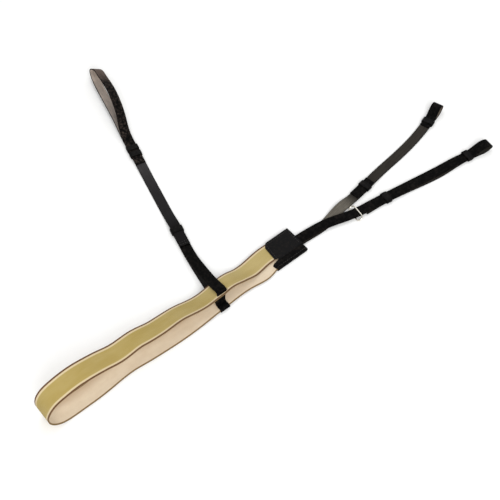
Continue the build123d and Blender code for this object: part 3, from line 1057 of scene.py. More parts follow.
@dataclass(frozen=True)
class Keeper:
    """A closed leather band round a stack of straps.

    Args:
        line: The line of the straps that it holds.
        at: How far along that line its middle is.
        layers: How many straps it holds.
        steps: Faces along the keeper.
        swell: How much wider it is in its middle, as a share of its width.
        corner: Radius of its outer corners, in millimetres.
        bevel: Width of the bevel round its rims, in millimetres.
    """

    line: Line
    at: float
    layers: int
    steps: int = 6
    swell: float = 0.012
    corner: float = 2.0
    bevel: float = 0.3

    def build(self, shop: Workshop, name: str, straps: Strapping,
              finish: bpy.types.Material) -> bpy.types.Object:
        """Build the keeper on its straps.

        Args:
            shop: The workshop that finishes pieces.
            name: The CAD node that the keeper stands for.
            straps: Sizes of the straps it holds.
            finish: Its leather.

        Returns:
            The finished keeper.
        """
        inner_height = self.layers * (straps.thick + straps.gap) - straps.gap + 2 * straps.keeper_play
        height = inner_height + 2 * straps.keeper_wall
        width = straps.width + 2 * (straps.keeper_slack + straps.keeper_wall)
        bm = bmesh.new()
        rounded_outline(bm, width, height, self.corner, 4)
        sides = [edge for edge in bm.edges if edge.calc_length() > width / 2]
        bmesh.ops.subdivide_edges(bm, edges=sides, cuts=3)
        edges = bm.edges[:]
        widths = [1 + self.swell * math.sin(math.pi * step / self.steps)
                  for step in range(self.steps + 1)]
        for before, after in zip(widths, widths[1:]):
            verts, edges = extruded(bm, edges)
            grow = after / before
            bmesh.ops.scale(bm, vec=(grow, 1.0, 1.0), verts=verts)
            bmesh.ops.translate(bm, vec=(0, 0, straps.keeper_length / self.steps), verts=verts)
        bmesh.ops.recalc_face_normals(bm, faces=bm.faces[:])
        bmesh.ops.solidify(bm, geom=bm.faces[:], thickness=straps.keeper_wall)
        rims = [edge for edge in bm.edges
                if edge.calc_face_angle(0.0) > math.radians(60)]
        bmesh.ops.bevel(bm, geom=rims, offset=self.bevel, segments=2, affect="EDGES",
                        profile=0.5, material=-1)
        middle = self.line.at(self.at, height / 2)
        upright = Matrix((-heading(self.line.course + 90), Vector((0, 0, 1)),
                          heading(self.line.course))).transposed().to_4x4()
        start = Matrix.Translation((0, 0, -straps.keeper_length / 2))
        bmesh.ops.transform(bm, matrix=Matrix.Translation(middle) @ upright @ start,
                            verts=bm.verts[:])
        bmesh.ops.recalc_face_normals(bm, faces=bm.faces[:])
        made = shop.piece(f"{name}_band", bm, [finish])
        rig.ride(made, name if name != "hand_loop_keeper" else "side_strap")
        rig.replaces(made, name)
        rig.slot(made, "black_keeper")
        return made


@dataclass(frozen=True)
class Seam:
    """A row of thread stitches between two places on a surface.

    Args:
        start: The middle of the first stitch.
        end: The middle of the last one.
        pitch: Distance from stitch to stitch, in millimetres.
        length: A stitch's length.
        width: A stitch's width.
        height: How far it stands out of the surface.
    """

    start: Vector
    end: Vector
    pitch: float = 4.6
    length: float = 3.2
    width: float = 0.8
    height: float = 0.45

    def sew(self, bm: bmesh.types.BMesh) -> None:
        """Add the row's stitches to a mesh."""
        run = self.end - self.start
        count = max(2, round(run.length / self.pitch) + 1)
        turned = Matrix.Rotation(math.atan2(run.y, run.x), 4, "Z")
        size = Matrix.Diagonal((self.length, self.width, self.height * 2, 1.0))
        for index in range(count):
            middle = Matrix.Translation(self.start + run * (index / (count - 1)))
            made = bmesh.ops.create_icosphere(bm, subdivisions=1, radius=0.5,
                                              matrix=middle @ turned @ size)
            low = self.start.z - 0.1
            sunk = [vert for vert in made["verts"] if vert.co.z < low]
            bmesh.ops.translate(bm, vec=(0, 0, self.height * 0.6), verts=sunk)


def stitched(shop: Workshop, name: str, seams: Sequence[Seam], finish: bpy.types.Material,
             body: str) -> bpy.types.Object:
    """Sew several rows as one piece.

    Args:
        shop: The workshop that finishes pieces.
        name: The CAD node that the stitches stand for.
        seams: The rows.
        finish: The thread.
        body: The body that the stitches ride on.

    Returns:
        The finished rows.
    """
    bm = bmesh.new()
    for seam in seams:
        seam.sew(bm)
    bmesh.ops.recalc_face_normals(bm, faces=bm.faces[:])
    made = shop.piece(f"{name}_thread", bm, [finish], sharp=80.0)
    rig.ride(made, body)
    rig.replaces(made, name)
    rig.slot(made, "black_thread")
    return made


# ---------------------------------------------------------------- the wide band
@dataclass
class Band:
    """The folded band: olive webbing outside, beige lining inside, with a slit near its tab.

    Args:
        width: Across the webbing, in millimetres.
        webbing_thick: Thickness of the webbing.
        lining_thick: Thickness of the lining.
        fold_tip: Where the fold ends along X.
        fold_radius: Radius of the fold at the line between webbing and lining.
        end_x: Where both layers end inside the tab.
        tab_x: Where the tab starts.
        tab_shift: How far the upper layer lies over at the tab.
        slit_x: Middle of the slit along X.
        slit_shift: How far the upper layer lies over at the slit.
        slit_inset: Distance from the upper layer's near edge to the slit.
        slit_open: The slit's width across the band.
        slit_length: Its length along the band.
        lining_inset: How much narrower the lining is than the webbing.
        clearance: Gap between the webbing and the floor.
        fold_wander: Where the lower layer lies sideways as the fold starts.
        fold_gain: Sideways shift that the fold adds to the upper layer's own.
        upper_from: Height over which the band is its upper layer, near the slit.
        lean_from: Height over which the band leans.
        fold_lean_from: Place along X beyond which the lean eases in with height.
        bow: How far the strip beside the slit bows out.
        bow_reach: How far each way from the slit it does so.
        lean: Lean of the upper layer along X, in degrees: positive raises its near edge.
        lower: The lower layer's places: X, how far it wanders sideways, and height.
        upper: The upper layer's places, in the same order.
    """

    width: float = 38.0
    webbing_thick: float = 1.6
    lining_thick: float = 0.9
    lining_inset: float = 2.6
    clearance: float = 0.1
    fold_tip: float = -466.5
    fold_radius: float = 33.5
    fold_wander: float = -3.8
    fold_gain: float = 2.0
    upper_from: float = 12.0
    lean_from: float = 5.0
    fold_lean_from: float = -420.0
    end_x: float = 60.0
    tab_x: float = 8.0
    tab_shift: float = 16.0
    slit_x: float = -104.0
    slit_shift: float = 10.2
    slit_inset: float = 4.2
    slit_open: float = 4.4
    slit_length: float = 23.0
    bow: float = 0.9
    bow_reach: float = 19.0
    lean: list[tuple[float, float]] = field(default_factory=lambda: [
        (-450, -18), (-425, -21), (-395, -19), (-367, -15), (-320, -9), (-270, -2), (-240, 5),
        (-190, 12), (-150, 14), (-115, 14), (-95, 12), (-55, 12), (-22, 0)])
    lower: list[tuple[float, float, float]] = field(default_factory=lambda: [
        (42, 0, 3.4), (23, 0, 3.4), (8, 0, 3.4), (-12, -4.8, 3.5), (-38, -3.0, 3.9),
        (-62, -0.8, 4.1), (-95, -1.8, 4.2), (-128, -3.6, 4.2), (-172, -5.6, 2.6),
        (-215, -5.4, 1.8), (-250, -3.6, 1.7), (-272, -2.0, 1.7), (-300, 0.6, 1.7),
        (-330, -0.2, 1.7), (-352, -2.2, 1.7), (-378, -3.8, 1.7), (-408, -4.0, 1.7)])
    upper: list[tuple[float, float, float]] = field(default_factory=lambda: [
        (-400, -0.8, 69.3), (-367, -0.4, 62.5), (-345, 0, 55.3), (-323, -1.2, 50.0),
        (-300, -0.7, 47.8), (-280, 0, 46.2), (-260, -1.2, 42.8), (-238, -1.8, 38.6),
        (-212, -1.4, 35.8), (-190, -1.0, 31.8), (-168, -2.0, 25.6), (-150, -2.6, 20.8),
        (-132, -2.2, 18.2), (-112, -0.8, 17.9), (-92, -0.6, 18.8), (-77, -1.6, 18.6),
        (-60, -2.7, 13.6), (-45, -3.0, 9.0), (-32, -3.0, 6.9), (-12, -1.2, 5.8), (5, 0, 5.5),
        (23, 0, 5.5), (42, 0, 5.5)])

    def shift_at(self, x: float) -> float:
        """How far the upper layer lies over towards the far side at a place along the band."""
        if x <= self.slit_x:
            return self.slit_shift * (x - self.fold_tip) / (self.slit_x - self.fold_tip)
        share = (x - self.slit_x) / (self.tab_x - self.slit_x)
        return self.slit_shift + (self.tab_shift - self.slit_shift) * min(share, 1.0)

    def knots(self) -> list[Vector]:
        """The line between webbing and lining, along the bottom, round the fold and back."""
        middle = self.width / 2
        points = [Vector((self.end_x, middle, 3.4))]
        points += [Vector((x, middle + wander, z)) for x, wander, z in self.lower]
        centre_x = self.fold_tip + self.fold_radius
        centre_z = self.webbing_thick + self.clearance + self.fold_radius
        for angle in range(0, 181, 30):
            x = centre_x - self.fold_radius * math.sin(math.radians(angle))
            z = centre_z - self.fold_radius * math.cos(math.radians(angle))
            shift = (self.shift_at(x) + self.fold_gain) * angle / 180 + self.fold_wander
            points.append(Vector((x, middle + shift, z)))
        points += [Vector((x, middle + wander + self.shift_at(x), z)) for x, wander, z in self.upper]
        points.append(Vector((self.end_x, middle + self.tab_shift, 5.5)))
        return points

    def side(self, place: Vector) -> Vector:
        """Direction across the band: flat below, leaning along the upper layer."""
        lean = eased(place.x, self.lean) if place.z > self.lean_from else 0.0
        if place.x < self.fold_lean_from:
            lean *= eased(place.z, [(12, 0), (65, 1)])
        return Vector((0, -math.cos(math.radians(lean)), math.sin(math.radians(lean))))

    def cut_slit(self, bm: bmesh.types.BMesh) -> None:
        """Cut the slit through the upper layer and close its walls.

        Args:
            bm: The swept webbing or lining, still in the drawing's frame.
        """
        near = self.slit_shift + self.slit_inset
        far = near + self.slit_open
        reach = self.slit_length / 2
        start, end = self.slit_x - reach, self.slit_x + reach
        cuts = [((start, 0, 0), (1, 0, 0)), ((end, 0, 0), (1, 0, 0)),
                ((0, near, 0), (0, 1, 0)), ((0, far, 0), (0, 1, 0))]
        for place, normal in cuts:
            faces = [face for face in bm.faces if face.calc_center_median().z > self.upper_from
                     and abs(face.calc_center_median().x - self.slit_x) < self.slit_length]
            edges = {edge for face in faces for edge in face.edges}
            verts = {vert for face in faces for vert in face.verts}
            bmesh.ops.bisect_plane(bm, geom=faces + list(edges) + list(verts), plane_co=place,
                                   plane_no=normal)
        opening = []
        for face in bm.faces:
            centre = face.calc_center_median()
            if centre.z > self.upper_from and start < centre.x < end and near < centre.y < far:
                opening.append(face)
        bmesh.ops.delete(bm, geom=opening, context="FACES")
        rim = [edge for edge in bm.edges if edge.is_boundary]
        bmesh.ops.bridge_loops(bm, edges=rim)
        for vert in bm.verts:
            away = abs(vert.co.x - self.slit_x) / self.bow_reach
            if vert.co.z > self.upper_from and vert.co.y < near + 0.5 and away < 1:
                push = self.bow * math.cos(math.pi / 2 * away) ** 2
                vert.co += Vector((0, -push, -0.3 * push))
        bmesh.ops.recalc_face_normals(bm, faces=bm.faces[:])

    def build(self, shop: Workshop, finishes: Finishes) -> None:
        """Build the webbing and the lining."""
        stations = Route(self.knots(), self.side).stations(spacing=4.0, turn=5.0)
        layers = (
            ("band_webbing", "olive_webbing", finishes.webbing, finishes.selvedge,
             Section(self.width, 0.0, self.webbing_thick, 0.6, 20)),
            ("band_lining", "beige_lining", finishes.lining, finishes.lining,
             Section(self.width - self.lining_inset, -self.lining_thick, 0.0, 0.3, 20)),
        )
        for node, slot, finish, back, section in layers:
            mesh = StrapMesh(section, stations)
            self.cut_slit(mesh.bm)
            mesh.dress()
            made = shop.piece(f"{node}_cloth", mesh.bm, [finish, back, back])
            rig.ride(made, "root")
            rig.replaces(made, node)
            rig.slot(made, slot)


# ---------------------------------------------------------------- the end tab
@dataclass
class Tab:
    """Two leather patches sewn over the band's ends, with a step where one end lies higher.

    Args:
        start_x: Left side of the bottom patch, in millimetres.
        end_x: Right side of both patches.
        near_y: Near side.
        far_y: Far side.
        wall: Thickness of the leather.
        low_top: Height of the top patch over the lower end.
        high_top: Height over the upper end.
        columns: Faces along the patch.
        seam_x: Left and right lines of the seam.
        seam_y: Near and far lines of the seam.
    """

    start_x: float = 8.0
    end_x: float = 79.0
    near_y: float = -1.9
    far_y: float = 55.6
    wall: float = 1.4
    low_top: float = 5.9
    high_top: float = 8.7
    columns: int = 44
    seam_x: tuple[float, float] = (21.5, 75.0)
    seam_y: tuple[float, float] = (2.6, 51.0)

    def left_at(self, y: float) -> float:
        """Where the top patch starts along X, at a place across it."""
        table = [(self.near_y, 10.5), (0.5, 8.2), (4.5, 6.8), (9.0, 6.4), (10.5, 7.6), (11.6, 12.0),
                 (12.6, 21.0), (14.0, 24.2), (15.2, 22.0), (17.0, 16.8), (26.0, 17.4), (46.0, 19.4),
                 (49.0, 21.0), (self.far_y, 28.0)]
        for (low, first), (high, second) in zip(table, table[1:]):
            if y <= high:
                return first + (second - first) * (y - low) / (high - low)
        return table[-1][1]

    def profile(self) -> list[tuple[float, float]]:
        """The top patch's outline across the band: Y and height, from its near foot to its far."""
        near, far = self.near_y, self.far_y
        rows = [(near, 1.7), (near, 3.2), (near + 0.1, self.low_top - 1.3),
                (near + 0.5, self.low_top - 0.5), (near + 1.3, self.low_top)]
        rows += [(y, self.low_top) for y in (0.5, 1.7, 2.6, 3.5, 5, 7, 8.6, 9.8)]
        rows += [(10.8, self.low_top + 0.1), (11.6, self.low_top + 0.5), (12.4, self.low_top + 1.2),
                 (13.2, self.low_top + 2.0), (14.0, self.high_top - 0.3), (14.8, self.high_top)]
        rows += [(15.6 + 1.5 * step, self.high_top) for step in range(26)]
        rows += [(far - 1.3, self.high_top), (far - 0.5, self.high_top - 0.5),
                 (far - 0.1, self.high_top - 1.3), (far, self.high_top - 3), (far, 1.7)]
        return rows

    def sunk_by(self, x: float, y: float) -> float:
        """How far the stitches pull the leather down at a place, in millimetres."""
        left, right = self.seam_x
        near, far = self.seam_y
        spread = 1.3
        gap = min(abs(y - near), abs(y - far), abs(x - right))
        if y > 17:
            gap = min(gap, abs(x - left - (y - 17) * 0.1))
        inside = max(left - 12 - x, 0.0) + max(near - y, 0.0)
        pull = 0.42 * math.exp(-((gap / spread) ** 2))
        pucker = 0.75 + 0.25 * math.cos(2 * math.pi * (x + y) / 4.6)
        return pull * pucker * math.exp(-inside)

    def build_top(self, shop: Workshop, finishes: Finishes) -> bpy.types.Object:
        """Build the stepped top patch."""
        bm = bmesh.new()
        rows = self.profile()
        left_edge = [bm.verts.new((self.left_at(y), y, z)) for y, z in rows]
        edges = [bm.edges.new(pair) for pair in zip(left_edge, left_edge[1:])]
        for column in range(1, self.columns + 1):
            share = column / self.columns
            verts, edges = extruded(bm, edges)
            for vert in verts:
                left = self.left_at(vert.co.y)
                vert.co.x = left + (self.end_x - left) * share
        for vert in bm.verts:
            crown = 0.35 * math.sin(math.pi * min(max((vert.co.y - 15) / 40, 0), 1))
            if vert.co.z > 4.5:
                vert.co.z += crown * math.sin(math.pi * (vert.co.x - 10) / 70) - self.sunk_by(*vert.co.xy)
        bmesh.ops.recalc_face_normals(bm, faces=bm.faces[:])
        upwards = sum(face.normal.z for face in bm.faces)
        if upwards < 0:
            bmesh.ops.reverse_faces(bm, faces=bm.faces[:])
        bmesh.ops.solidify(bm, geom=bm.faces[:], thickness=self.wall)
        rims = [edge for edge in bm.edges if edge.calc_face_angle(0.0) > math.radians(70)]
        bmesh.ops.bevel(bm, geom=rims, offset=0.35, segments=2, affect="EDGES", profile=0.5,
                        clamp_overlap=True, material=-1)
        bmesh.ops.recalc_face_normals(bm, faces=bm.faces[:])
        return shop.piece("tab_top_leather", bm, [finishes.tab])

    def build_bottom(self, shop: Workshop, finishes: Finishes) -> bpy.types.Object:
        """Build the flat bottom patch."""
        bm = bmesh.new()
        rounded_outline(bm, self.end_x - self.start_x, self.far_y - self.near_y, 2.5, 4)
        verts, edges = extruded(bm, bm.edges[:])
        bmesh.ops.translate(bm, vec=(0, 0, self.wall), verts=verts)
        bmesh.ops.contextual_create(bm, geom=edges)
        bmesh.ops.contextual_create(bm, geom=[edge for edge in bm.edges if edge.is_boundary])
        rims = [edge for edge in bm.edges if edge.calc_face_angle(0.0) > math.radians(60)]
        bmesh.ops.bevel(bm, geom=rims, offset=0.3, segments=2, affect="EDGES", profile=0.5,
                        material=-1)
        middle = Vector(((self.start_x + self.end_x) / 2, (self.near_y + self.far_y) / 2, 0.0))
        bmesh.ops.translate(bm, vec=middle, verts=bm.verts[:])
        bmesh.ops.recalc_face_normals(bm, faces=bm.faces[:])
        return shop.piece("tab_bottom_leather", bm, [finishes.tab])

    def build(self, shop: Workshop, finishes: Finishes) -> None:
        """Build both patches and their stitches."""
        for made, node in ((self.build_top(shop, finishes), "tab_top_patch"),
                           (self.build_bottom(shop, finishes), "tab_bottom_patch")):
            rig.ride(made, "root")
            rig.replaces(made, node)
            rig.slot(made, "tab_leather")
        left, right = self.seam_x
        near, far = self.seam_y
        low, high = self.low_top - 0.3, self.high_top - 0.25
        seams = [Seam(Vector((12.0, near, low)), Vector((right, near, low))),
                 Seam(Vector((left + 3.4, far, high)), Vector((right, far, high))),
                 Seam(Vector((left, 18.5, high)), Vector((left + 3.0, 47.0, high))),
                 Seam(Vector((right, 18.5, high)), Vector((right, 47.0, high)))]
        stitched(shop, "tab_stitches", seams, finishes.thread, "root")


# ---------------------------------------------------------------- the side strap
@dataclass
class SideStrap:
    """The strap that loops the band, runs out to the side and ends in a hand loop.

    Args:
        line: The line that it runs along.
        straps: Sizes shared by the straps.
        lower_keeper: Place of the keeper over the sewn end, along the line.
        upper_keeper: Place of the keeper below the hand loop.
        loop_keeper: Place of the small keeper at the foot of the hand loop.
        flex: Where the strap lifts from the band's stack.
        hand_flex: Where the hand loop lifts.
        hand_tip: Where the hand loop ends.
        loop_height: How far the hand loop stands open.
        loop_roll: How far the hand loop has rolled over, in degrees.
    """

    line: Line = Line(-85.4, 145.0, 75.6)
    straps: Strapping = Strapping()
    lower_keeper: float = 38.0
    upper_keeper: float = 240.5
    loop_keeper: float = 257.0
    flex: float = 60.0
    hand_flex: float = 270.0
    hand_tip: float = 478.0
    loop_height: float = 27.0
    loop_roll: float = 26.0

    def right(self, _place: Vector) -> Vector:
        """Direction across the side strap, to the right of its heading."""
        return heading(self.line.course - 90)

    def anchor_side(self, place: Vector) -> Vector:
        """Direction across the anchor, turning from the band's to the side strap's."""
        course = eased(place.y, [(10, 90), (60, 81), (140, self.line.course)])
        return heading(course - 90)

    def anchor_knots(self) -> list[Vector]:
        """The anchor's way: under the band, round its near edge, up through the slit, over."""
        first, second = self.straps.layer(1), self.straps.layer(2)
        sewn_to = self.lower_keeper + 9
        below = [self.line.at(sewn_to, first), self.line.at(12, first), self.line.at(-10, 2.2)]
        below += [Vector(place) for place in (
            (-98.6, 85, 1.4), (-103.2, 60, 1.3), (-106.6, 40, 1.3), (-110.6, 20, 1.3),
            (-113, 6, 1.3), (-113.5, -1.9, 1.35))]
        above = [Vector(place) for place in (
            (-113.5, -4.6, 3.9), (-113.5, -1.9, 6.5), (-113.4, 5.0, 6.7), (-111.5, 12.5, 8.4),
            (-106.5, 16.2, 14.2), (-104, 16.6, 20.8), (-103.5, 19.9, 24.6), (-103, 28, 23.2),
            (-102.6, 38, 21.0), (-102, 48, 18.9), (-101, 58, 16.8), (-97.5, 84, 11.6))]
        above += [self.line.at(-28, 7.6), self.line.at(-12, 5.4)]
        above += [self.line.at(along, second) for along in (-2, 8, 20, 34, sewn_to)]
        return below + above

    def run_knots(self) -> list[Vector]:
        """The sewn end on top of the stack, then the free run down to the surface."""
        third = self.straps.layer(3)
        places = [(0, third), (16, third), (34, third), (49, third), (self.flex - 3, 6.0),
                  (self.flex + 3, 4.6), (85, 1.7), (120, 1.3), (180, 1.4), (205, self.straps.layer(1)),
                  (240, self.straps.layer(1)), (self.loop_keeper, self.straps.layer(1))]
        return [self.line.at(along, height) for along, height in places]

    def roll_at(self, along: float) -> float:
        """How far the hand loop has rolled over towards its right, in degrees."""
        return eased(along, [(self.hand_flex + 5, 0), (340, self.loop_roll)])

    def loop_point(self, along: float, opening: float) -> Vector:
        """Place on the hand loop, opened that far above its lower layer before it rolls."""
        roll = math.radians(self.roll_at(along))
        resting = eased(along, [(self.hand_flex + 10, self.straps.layer(1)), (330, 1.4)])
        height = resting + self.straps.width / 2 * math.sin(roll) + opening * math.cos(roll)
        return self.line.at(along, height, -opening * math.sin(roll))

    def loop_side(self, place: Vector) -> Vector:
        """Direction across the hand loop, tipping down to the right as it rolls."""
        roll = math.radians(self.roll_at(self.line.along(place)))
        return self.right(place) * math.cos(roll) - Vector((0, 0, math.sin(roll)))

    def loop_knots(self) -> list[Vector]:
        """The hand loop's way out along the surface, round its tip and back to its tail."""
        height = self.loop_height
        step = self.straps.layer(2) - self.straps.layer(1)
        start = self.hand_flex + 3
        out = [(self.loop_keeper, 0), (start, 0), (300, 0), (345, 0), (400, 0), (445, 0.5),
               (466, 3.5), (self.hand_tip, 10)]
        back = [(471, 17.5), (448, 0.86 * height), (410, height), (370, 0.93 * height),
                (330, 0.6 * height), (298, 6.5), (start, step), (self.loop_keeper, step),
                (235, step), (214, step)]
        return [self.loop_point(along, opening) for along, opening in out + back]

    def build(self, shop: Workshop, finishes: Finishes) -> None:
        """Build the anchor, the run, the hand loop, their keepers and stitches."""
        section = self.straps.section()
        leather = finishes.strap(finishes.flesh_side)
        anchor = shop.strap("side_anchor_leather", section,
                            Route(self.anchor_knots(), self.anchor_side).stations(3.5, 6), leather)
        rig.ride(anchor, "root")
        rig.replaces(anchor, "side_anchor_strap")
        run = shop.strap("side_run_leather", section,
                         Route(self.run_knots(), self.right).stations(2.5, 4),
                         finishes.turned(finishes.flesh_run))
        self._bend(shop, run, "root", "side_strap", self.flex, 8.0)
        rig.replaces(run, "side_strap_end", "side_strap")
        loop = shop.strap("hand_loop_leather", section,
                          Route(self.loop_knots(), self.loop_side).stations(2.5, 5),
                          finishes.turned(finishes.flesh_hand))
        self._bend(shop, loop, "side_strap", "hand_loop", self.hand_flex, 6.0)
        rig.replaces(loop, "hand_loop", "hand_loop_tail")
        for made in (anchor, run, loop):
            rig.slot(made, "black_strap")
        for name, at, layers in (("side_lower_keeper", self.lower_keeper, 3),
                                 ("side_upper_keeper", self.upper_keeper, 2),
                                 ("hand_loop_keeper", self.loop_keeper, 2)):
            Keeper(self.line, at, layers).build(shop, name, self.straps, finishes.keeper)
        self._sew(shop, finishes)

    def _bend(self, shop: Workshop, strap: bpy.types.Object, held: str, lifted: str, at: float,
              reach: float) -> None:
        """Let a strap bend between two bodies about a place along the line."""
        start = shop.layout.point(self.line.at(at - reach, 4.0))
        end = shop.layout.point(self.line.at(at + reach, 4.0))
        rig.blend(strap, held, lifted, start=start, end=end)

    def _sew(self, shop: Workshop, finishes: Finishes) -> None:
        """Sew the strap's end to the anchor and the hand loop's tail to the strap."""
        half = self.straps.thick / 2
        top = self.straps.layer(3) + half
        seams = [Seam(self.line.at(at, top, 6.9), self.line.at(at, top, -6.9)) for at in (3.5, 8.5)]
        stitched(shop, "side_end_stitches", seams, finishes.thread, "root")
        top = self.straps.layer(2) + half
        seam = Seam(self.line.at(219, top, 6.9), self.line.at(219, top, -6.9))
        stitched(shop, "hand_loop_stitches", [seam], finishes.thread, "side_strap")


# ---------------------------------------------------------------- the trunk and the fork
@dataclass
class Fork:
    """Two straps that leave the tab together and part into the fork's arms.

    Args:
        straps: Sizes shared by the straps.
        lower_line: The line of the lower arm.
        lower_tip: Where the lower arm's end loop ends, along its line.
        upper_tip: Where the upper arm's end loop ends, along X.
        inner_end: Where the straps end inside the tab, along X.
        top_seam: Where the top strap's two pieces meet on the trunk, along X.
        under_seam: Where the under strap's two pieces meet.
        lower_keepers: Places of the lower arm's keepers, along its line.
        upper_keepers: Places of the upper arm's keepers, along X.
        ring_length: The wire ring's length across the strap.
        ring_width: Its width along it.
        ring_tilt: How far its bar over the strap is raised, in degrees.
        wire: The wire's diameter.
    """

    straps: Strapping = Strapping()
    lower_line: Line = Line(204.0, 1.0, -8.1)
    lower_tip: float = 313.0
    upper_tip: float = 512.0
    inner_end: float = 62.0
    top_seam: float = 138.0
    under_seam: float = 112.0
    lower_keepers: tuple[float, float] = (66.5, 260.0)
    upper_keepers: tuple[float, float] = (259.0, 467.0)
    ring_length: float = 36.0
    ring_width: float = 15.0
    ring_tilt: float = 30.0
    wire: float = 2.6

    def near_side(self, place: Vector) -> Vector:
        """Direction across the strap that becomes the lower arm."""
        course = eased(place.x, [(80, -3), (150, -15), (190, -14), (208, self.lower_line.course)])
        return heading(course - 90)

    def far_side(self, place: Vector) -> Vector:
        """Direction across the strap that becomes the upper arm: it rolls as it leaves."""
        course = eased(place.x, [(80, -3), (125, 0), (165, 9), (250, 10), (350, 7), (430, 12),
                                 (self.upper_tip, 18)])
        roll = math.radians(eased(place.x, [(145, 0), (180, 16), (190, 16), (216, 0)]))
        return heading(course - 90) * math.cos(roll) - Vector((0, 0, math.sin(roll)))

    def top_knots(self) -> list[Vector]:
        """The top strap: out of the tab, along the lower arm, round its tip and back under."""
        first, second = self.straps.layer(1), self.straps.layer(2)
        line = self.lower_line
        trunk = [(self.inner_end, 25.1), (78, 24.4), (90, 23.9), (112, 22.3), (140, 18.5),
                 (165, 11.8), (183, 6.2), (191, 4.1)]
        knots = [Vector((x, y, second)) for x, y in trunk]
        knots += [line.at(*place) for place in (
            (0, second), (30, second), (90, second), (150, 3.8), (200, 3.8), (235, second),
            (268, second), (288, 11.0, 0.5), (303, 13.4, 0), (self.lower_tip, 8.2, -0.5),
            (305, 2.6, -1.0), (286, 1.9, -1.2), (268, first, -0.3), (235, first, -0.3),
            (200, 1.3, -3.0), (150, 1.3, -3.0), (90, first, -0.3), (50, first, -0.3),
            (28, first, -1.5), (14, first, -2.5))]
        return knots

    def upper_plan(self, x: float) -> float:
        """Middle line of the upper arm in plan."""
        table = [(219, 31.4), (262, 37.8), (307, 45.5), (350, 50.7), (400, 58.2), (437, 66.0),
                 (467, 74.3), (512, 88.6)]
        for (low, first), (high, second) in zip(table, table[1:]):
            if x <= high:
                return first + (second - first) * (x - low) / (high - low)
        return table[-1][1]

    def upper_at(self, x: float, height: float, across: float = 0.0) -> Vector:
        """Place on the upper arm at a place along X."""
        return Vector((x, self.upper_plan(x) + across, height))

    def upper_course(self, x: float) -> float:
        """Heading of the upper arm at a place along X."""
        rise = self.upper_plan(x + 4) - self.upper_plan(x - 4)
        return math.degrees(math.atan2(rise, 8))

    def under_knots(self) -> list[Vector]:
        """The under strap: out of the tab, rolling clear, along the upper arm and back on top."""
        first, second = self.straps.layer(1), self.straps.layer(2)
        knots = [Vector(place) for place in (
            (self.inner_end, 23.1, first), (78, 22.4, first), (90, 21.8, 2.4), (112, 20.4, 1.8),
            (138, 20.2, 1.4), (162, 24, 2.6), (184, 28, 4.4), (202, 30.2, 3.6), (220, 31.6, first))]
        knots += [self.upper_at(*place) for place in (
            (262, first), (285, first), (307, 1.5), (350, 1.3), (400, 1.3), (430, 1.6), (450, first),
            (475, first), (490, 1.8, -0.4), (503, 2.6), (self.upper_tip, 9.0, 0.6), (504, 16.5, 1.0),
            (494, 14.5, 1.0), (484, 7.4, 0.6), (475, second), (464, second), (452, second))]
        return knots

    def ring_stations(self) -> list[Station]:
        """Stations round the wire ring, tilted about its bar under the strap."""
        radius = self.wire / 2
        bend = self.ring_width / 2 - radius
        straight = self.ring_length / 2 - radius - bend
        flat: list[tuple[Vector, float]] = []
        for centre, first in ((straight, 0.0), (-straight, 180.0)):
            for step in range(13):
                angle = first + step * 15.0
                rim = Vector((math.cos(math.radians(angle)), math.sin(math.radians(angle)), 0))
                flat.append((Vector((0, centre, 0)) + rim * bend, angle))
            run = Vector((-bend if first == 0 else bend, centre, 0))
            turn = 180.0 if first == 0 else 360.0
            flat += [(run - Vector((0, math.copysign(share * straight, centre), 0)), turn)
                     for share in (0.5, 1.0, 1.5)]
        rise = bend * math.sin(math.radians(self.ring_tilt))
        place = Matrix.Translation(self.lower_line.at(-3.5, radius + rise + 0.05))
        turned = place @ Matrix.Rotation(math.radians(self.lower_line.course), 4, "Z")
        tilted = turned @ Matrix.Rotation(math.radians(-self.ring_tilt), 4, "Y")
        made = []
        for point, angle in flat:
            course = tilted.to_3x3() @ heading(angle + 90)
            made.append(Station(tilted @ point, course, tilted.to_3x3() @ heading(angle), 0.0))
        return made

    def build_ring(self, shop: Workshop, finishes: Finishes) -> None:
        """Build the wire ring."""
        bm = bmesh.new()
        stations = self.ring_stations()
        bmesh.ops.create_circle(bm, segments=14, radius=self.wire / 2, matrix=stations[0].matrix())
        first = bm.edges[:]
        edges = first
        for before, after in zip(stations, stations[1:]):
            verts, edges = extruded(bm, edges)
            bmesh.ops.transform(bm, matrix=after.matrix() @ before.matrix().inverted(), verts=verts)
        bmesh.ops.bridge_loops(bm, edges=first + edges)
        bmesh.ops.recalc_face_normals(bm, faces=bm.faces[:])
        ring = shop.piece("fork_ring_wire", bm, [finishes.wire])
        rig.ride(ring, "fork_ring")
        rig.replaces(ring, "fork_ring")
        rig.slot(ring, "ring_wire")

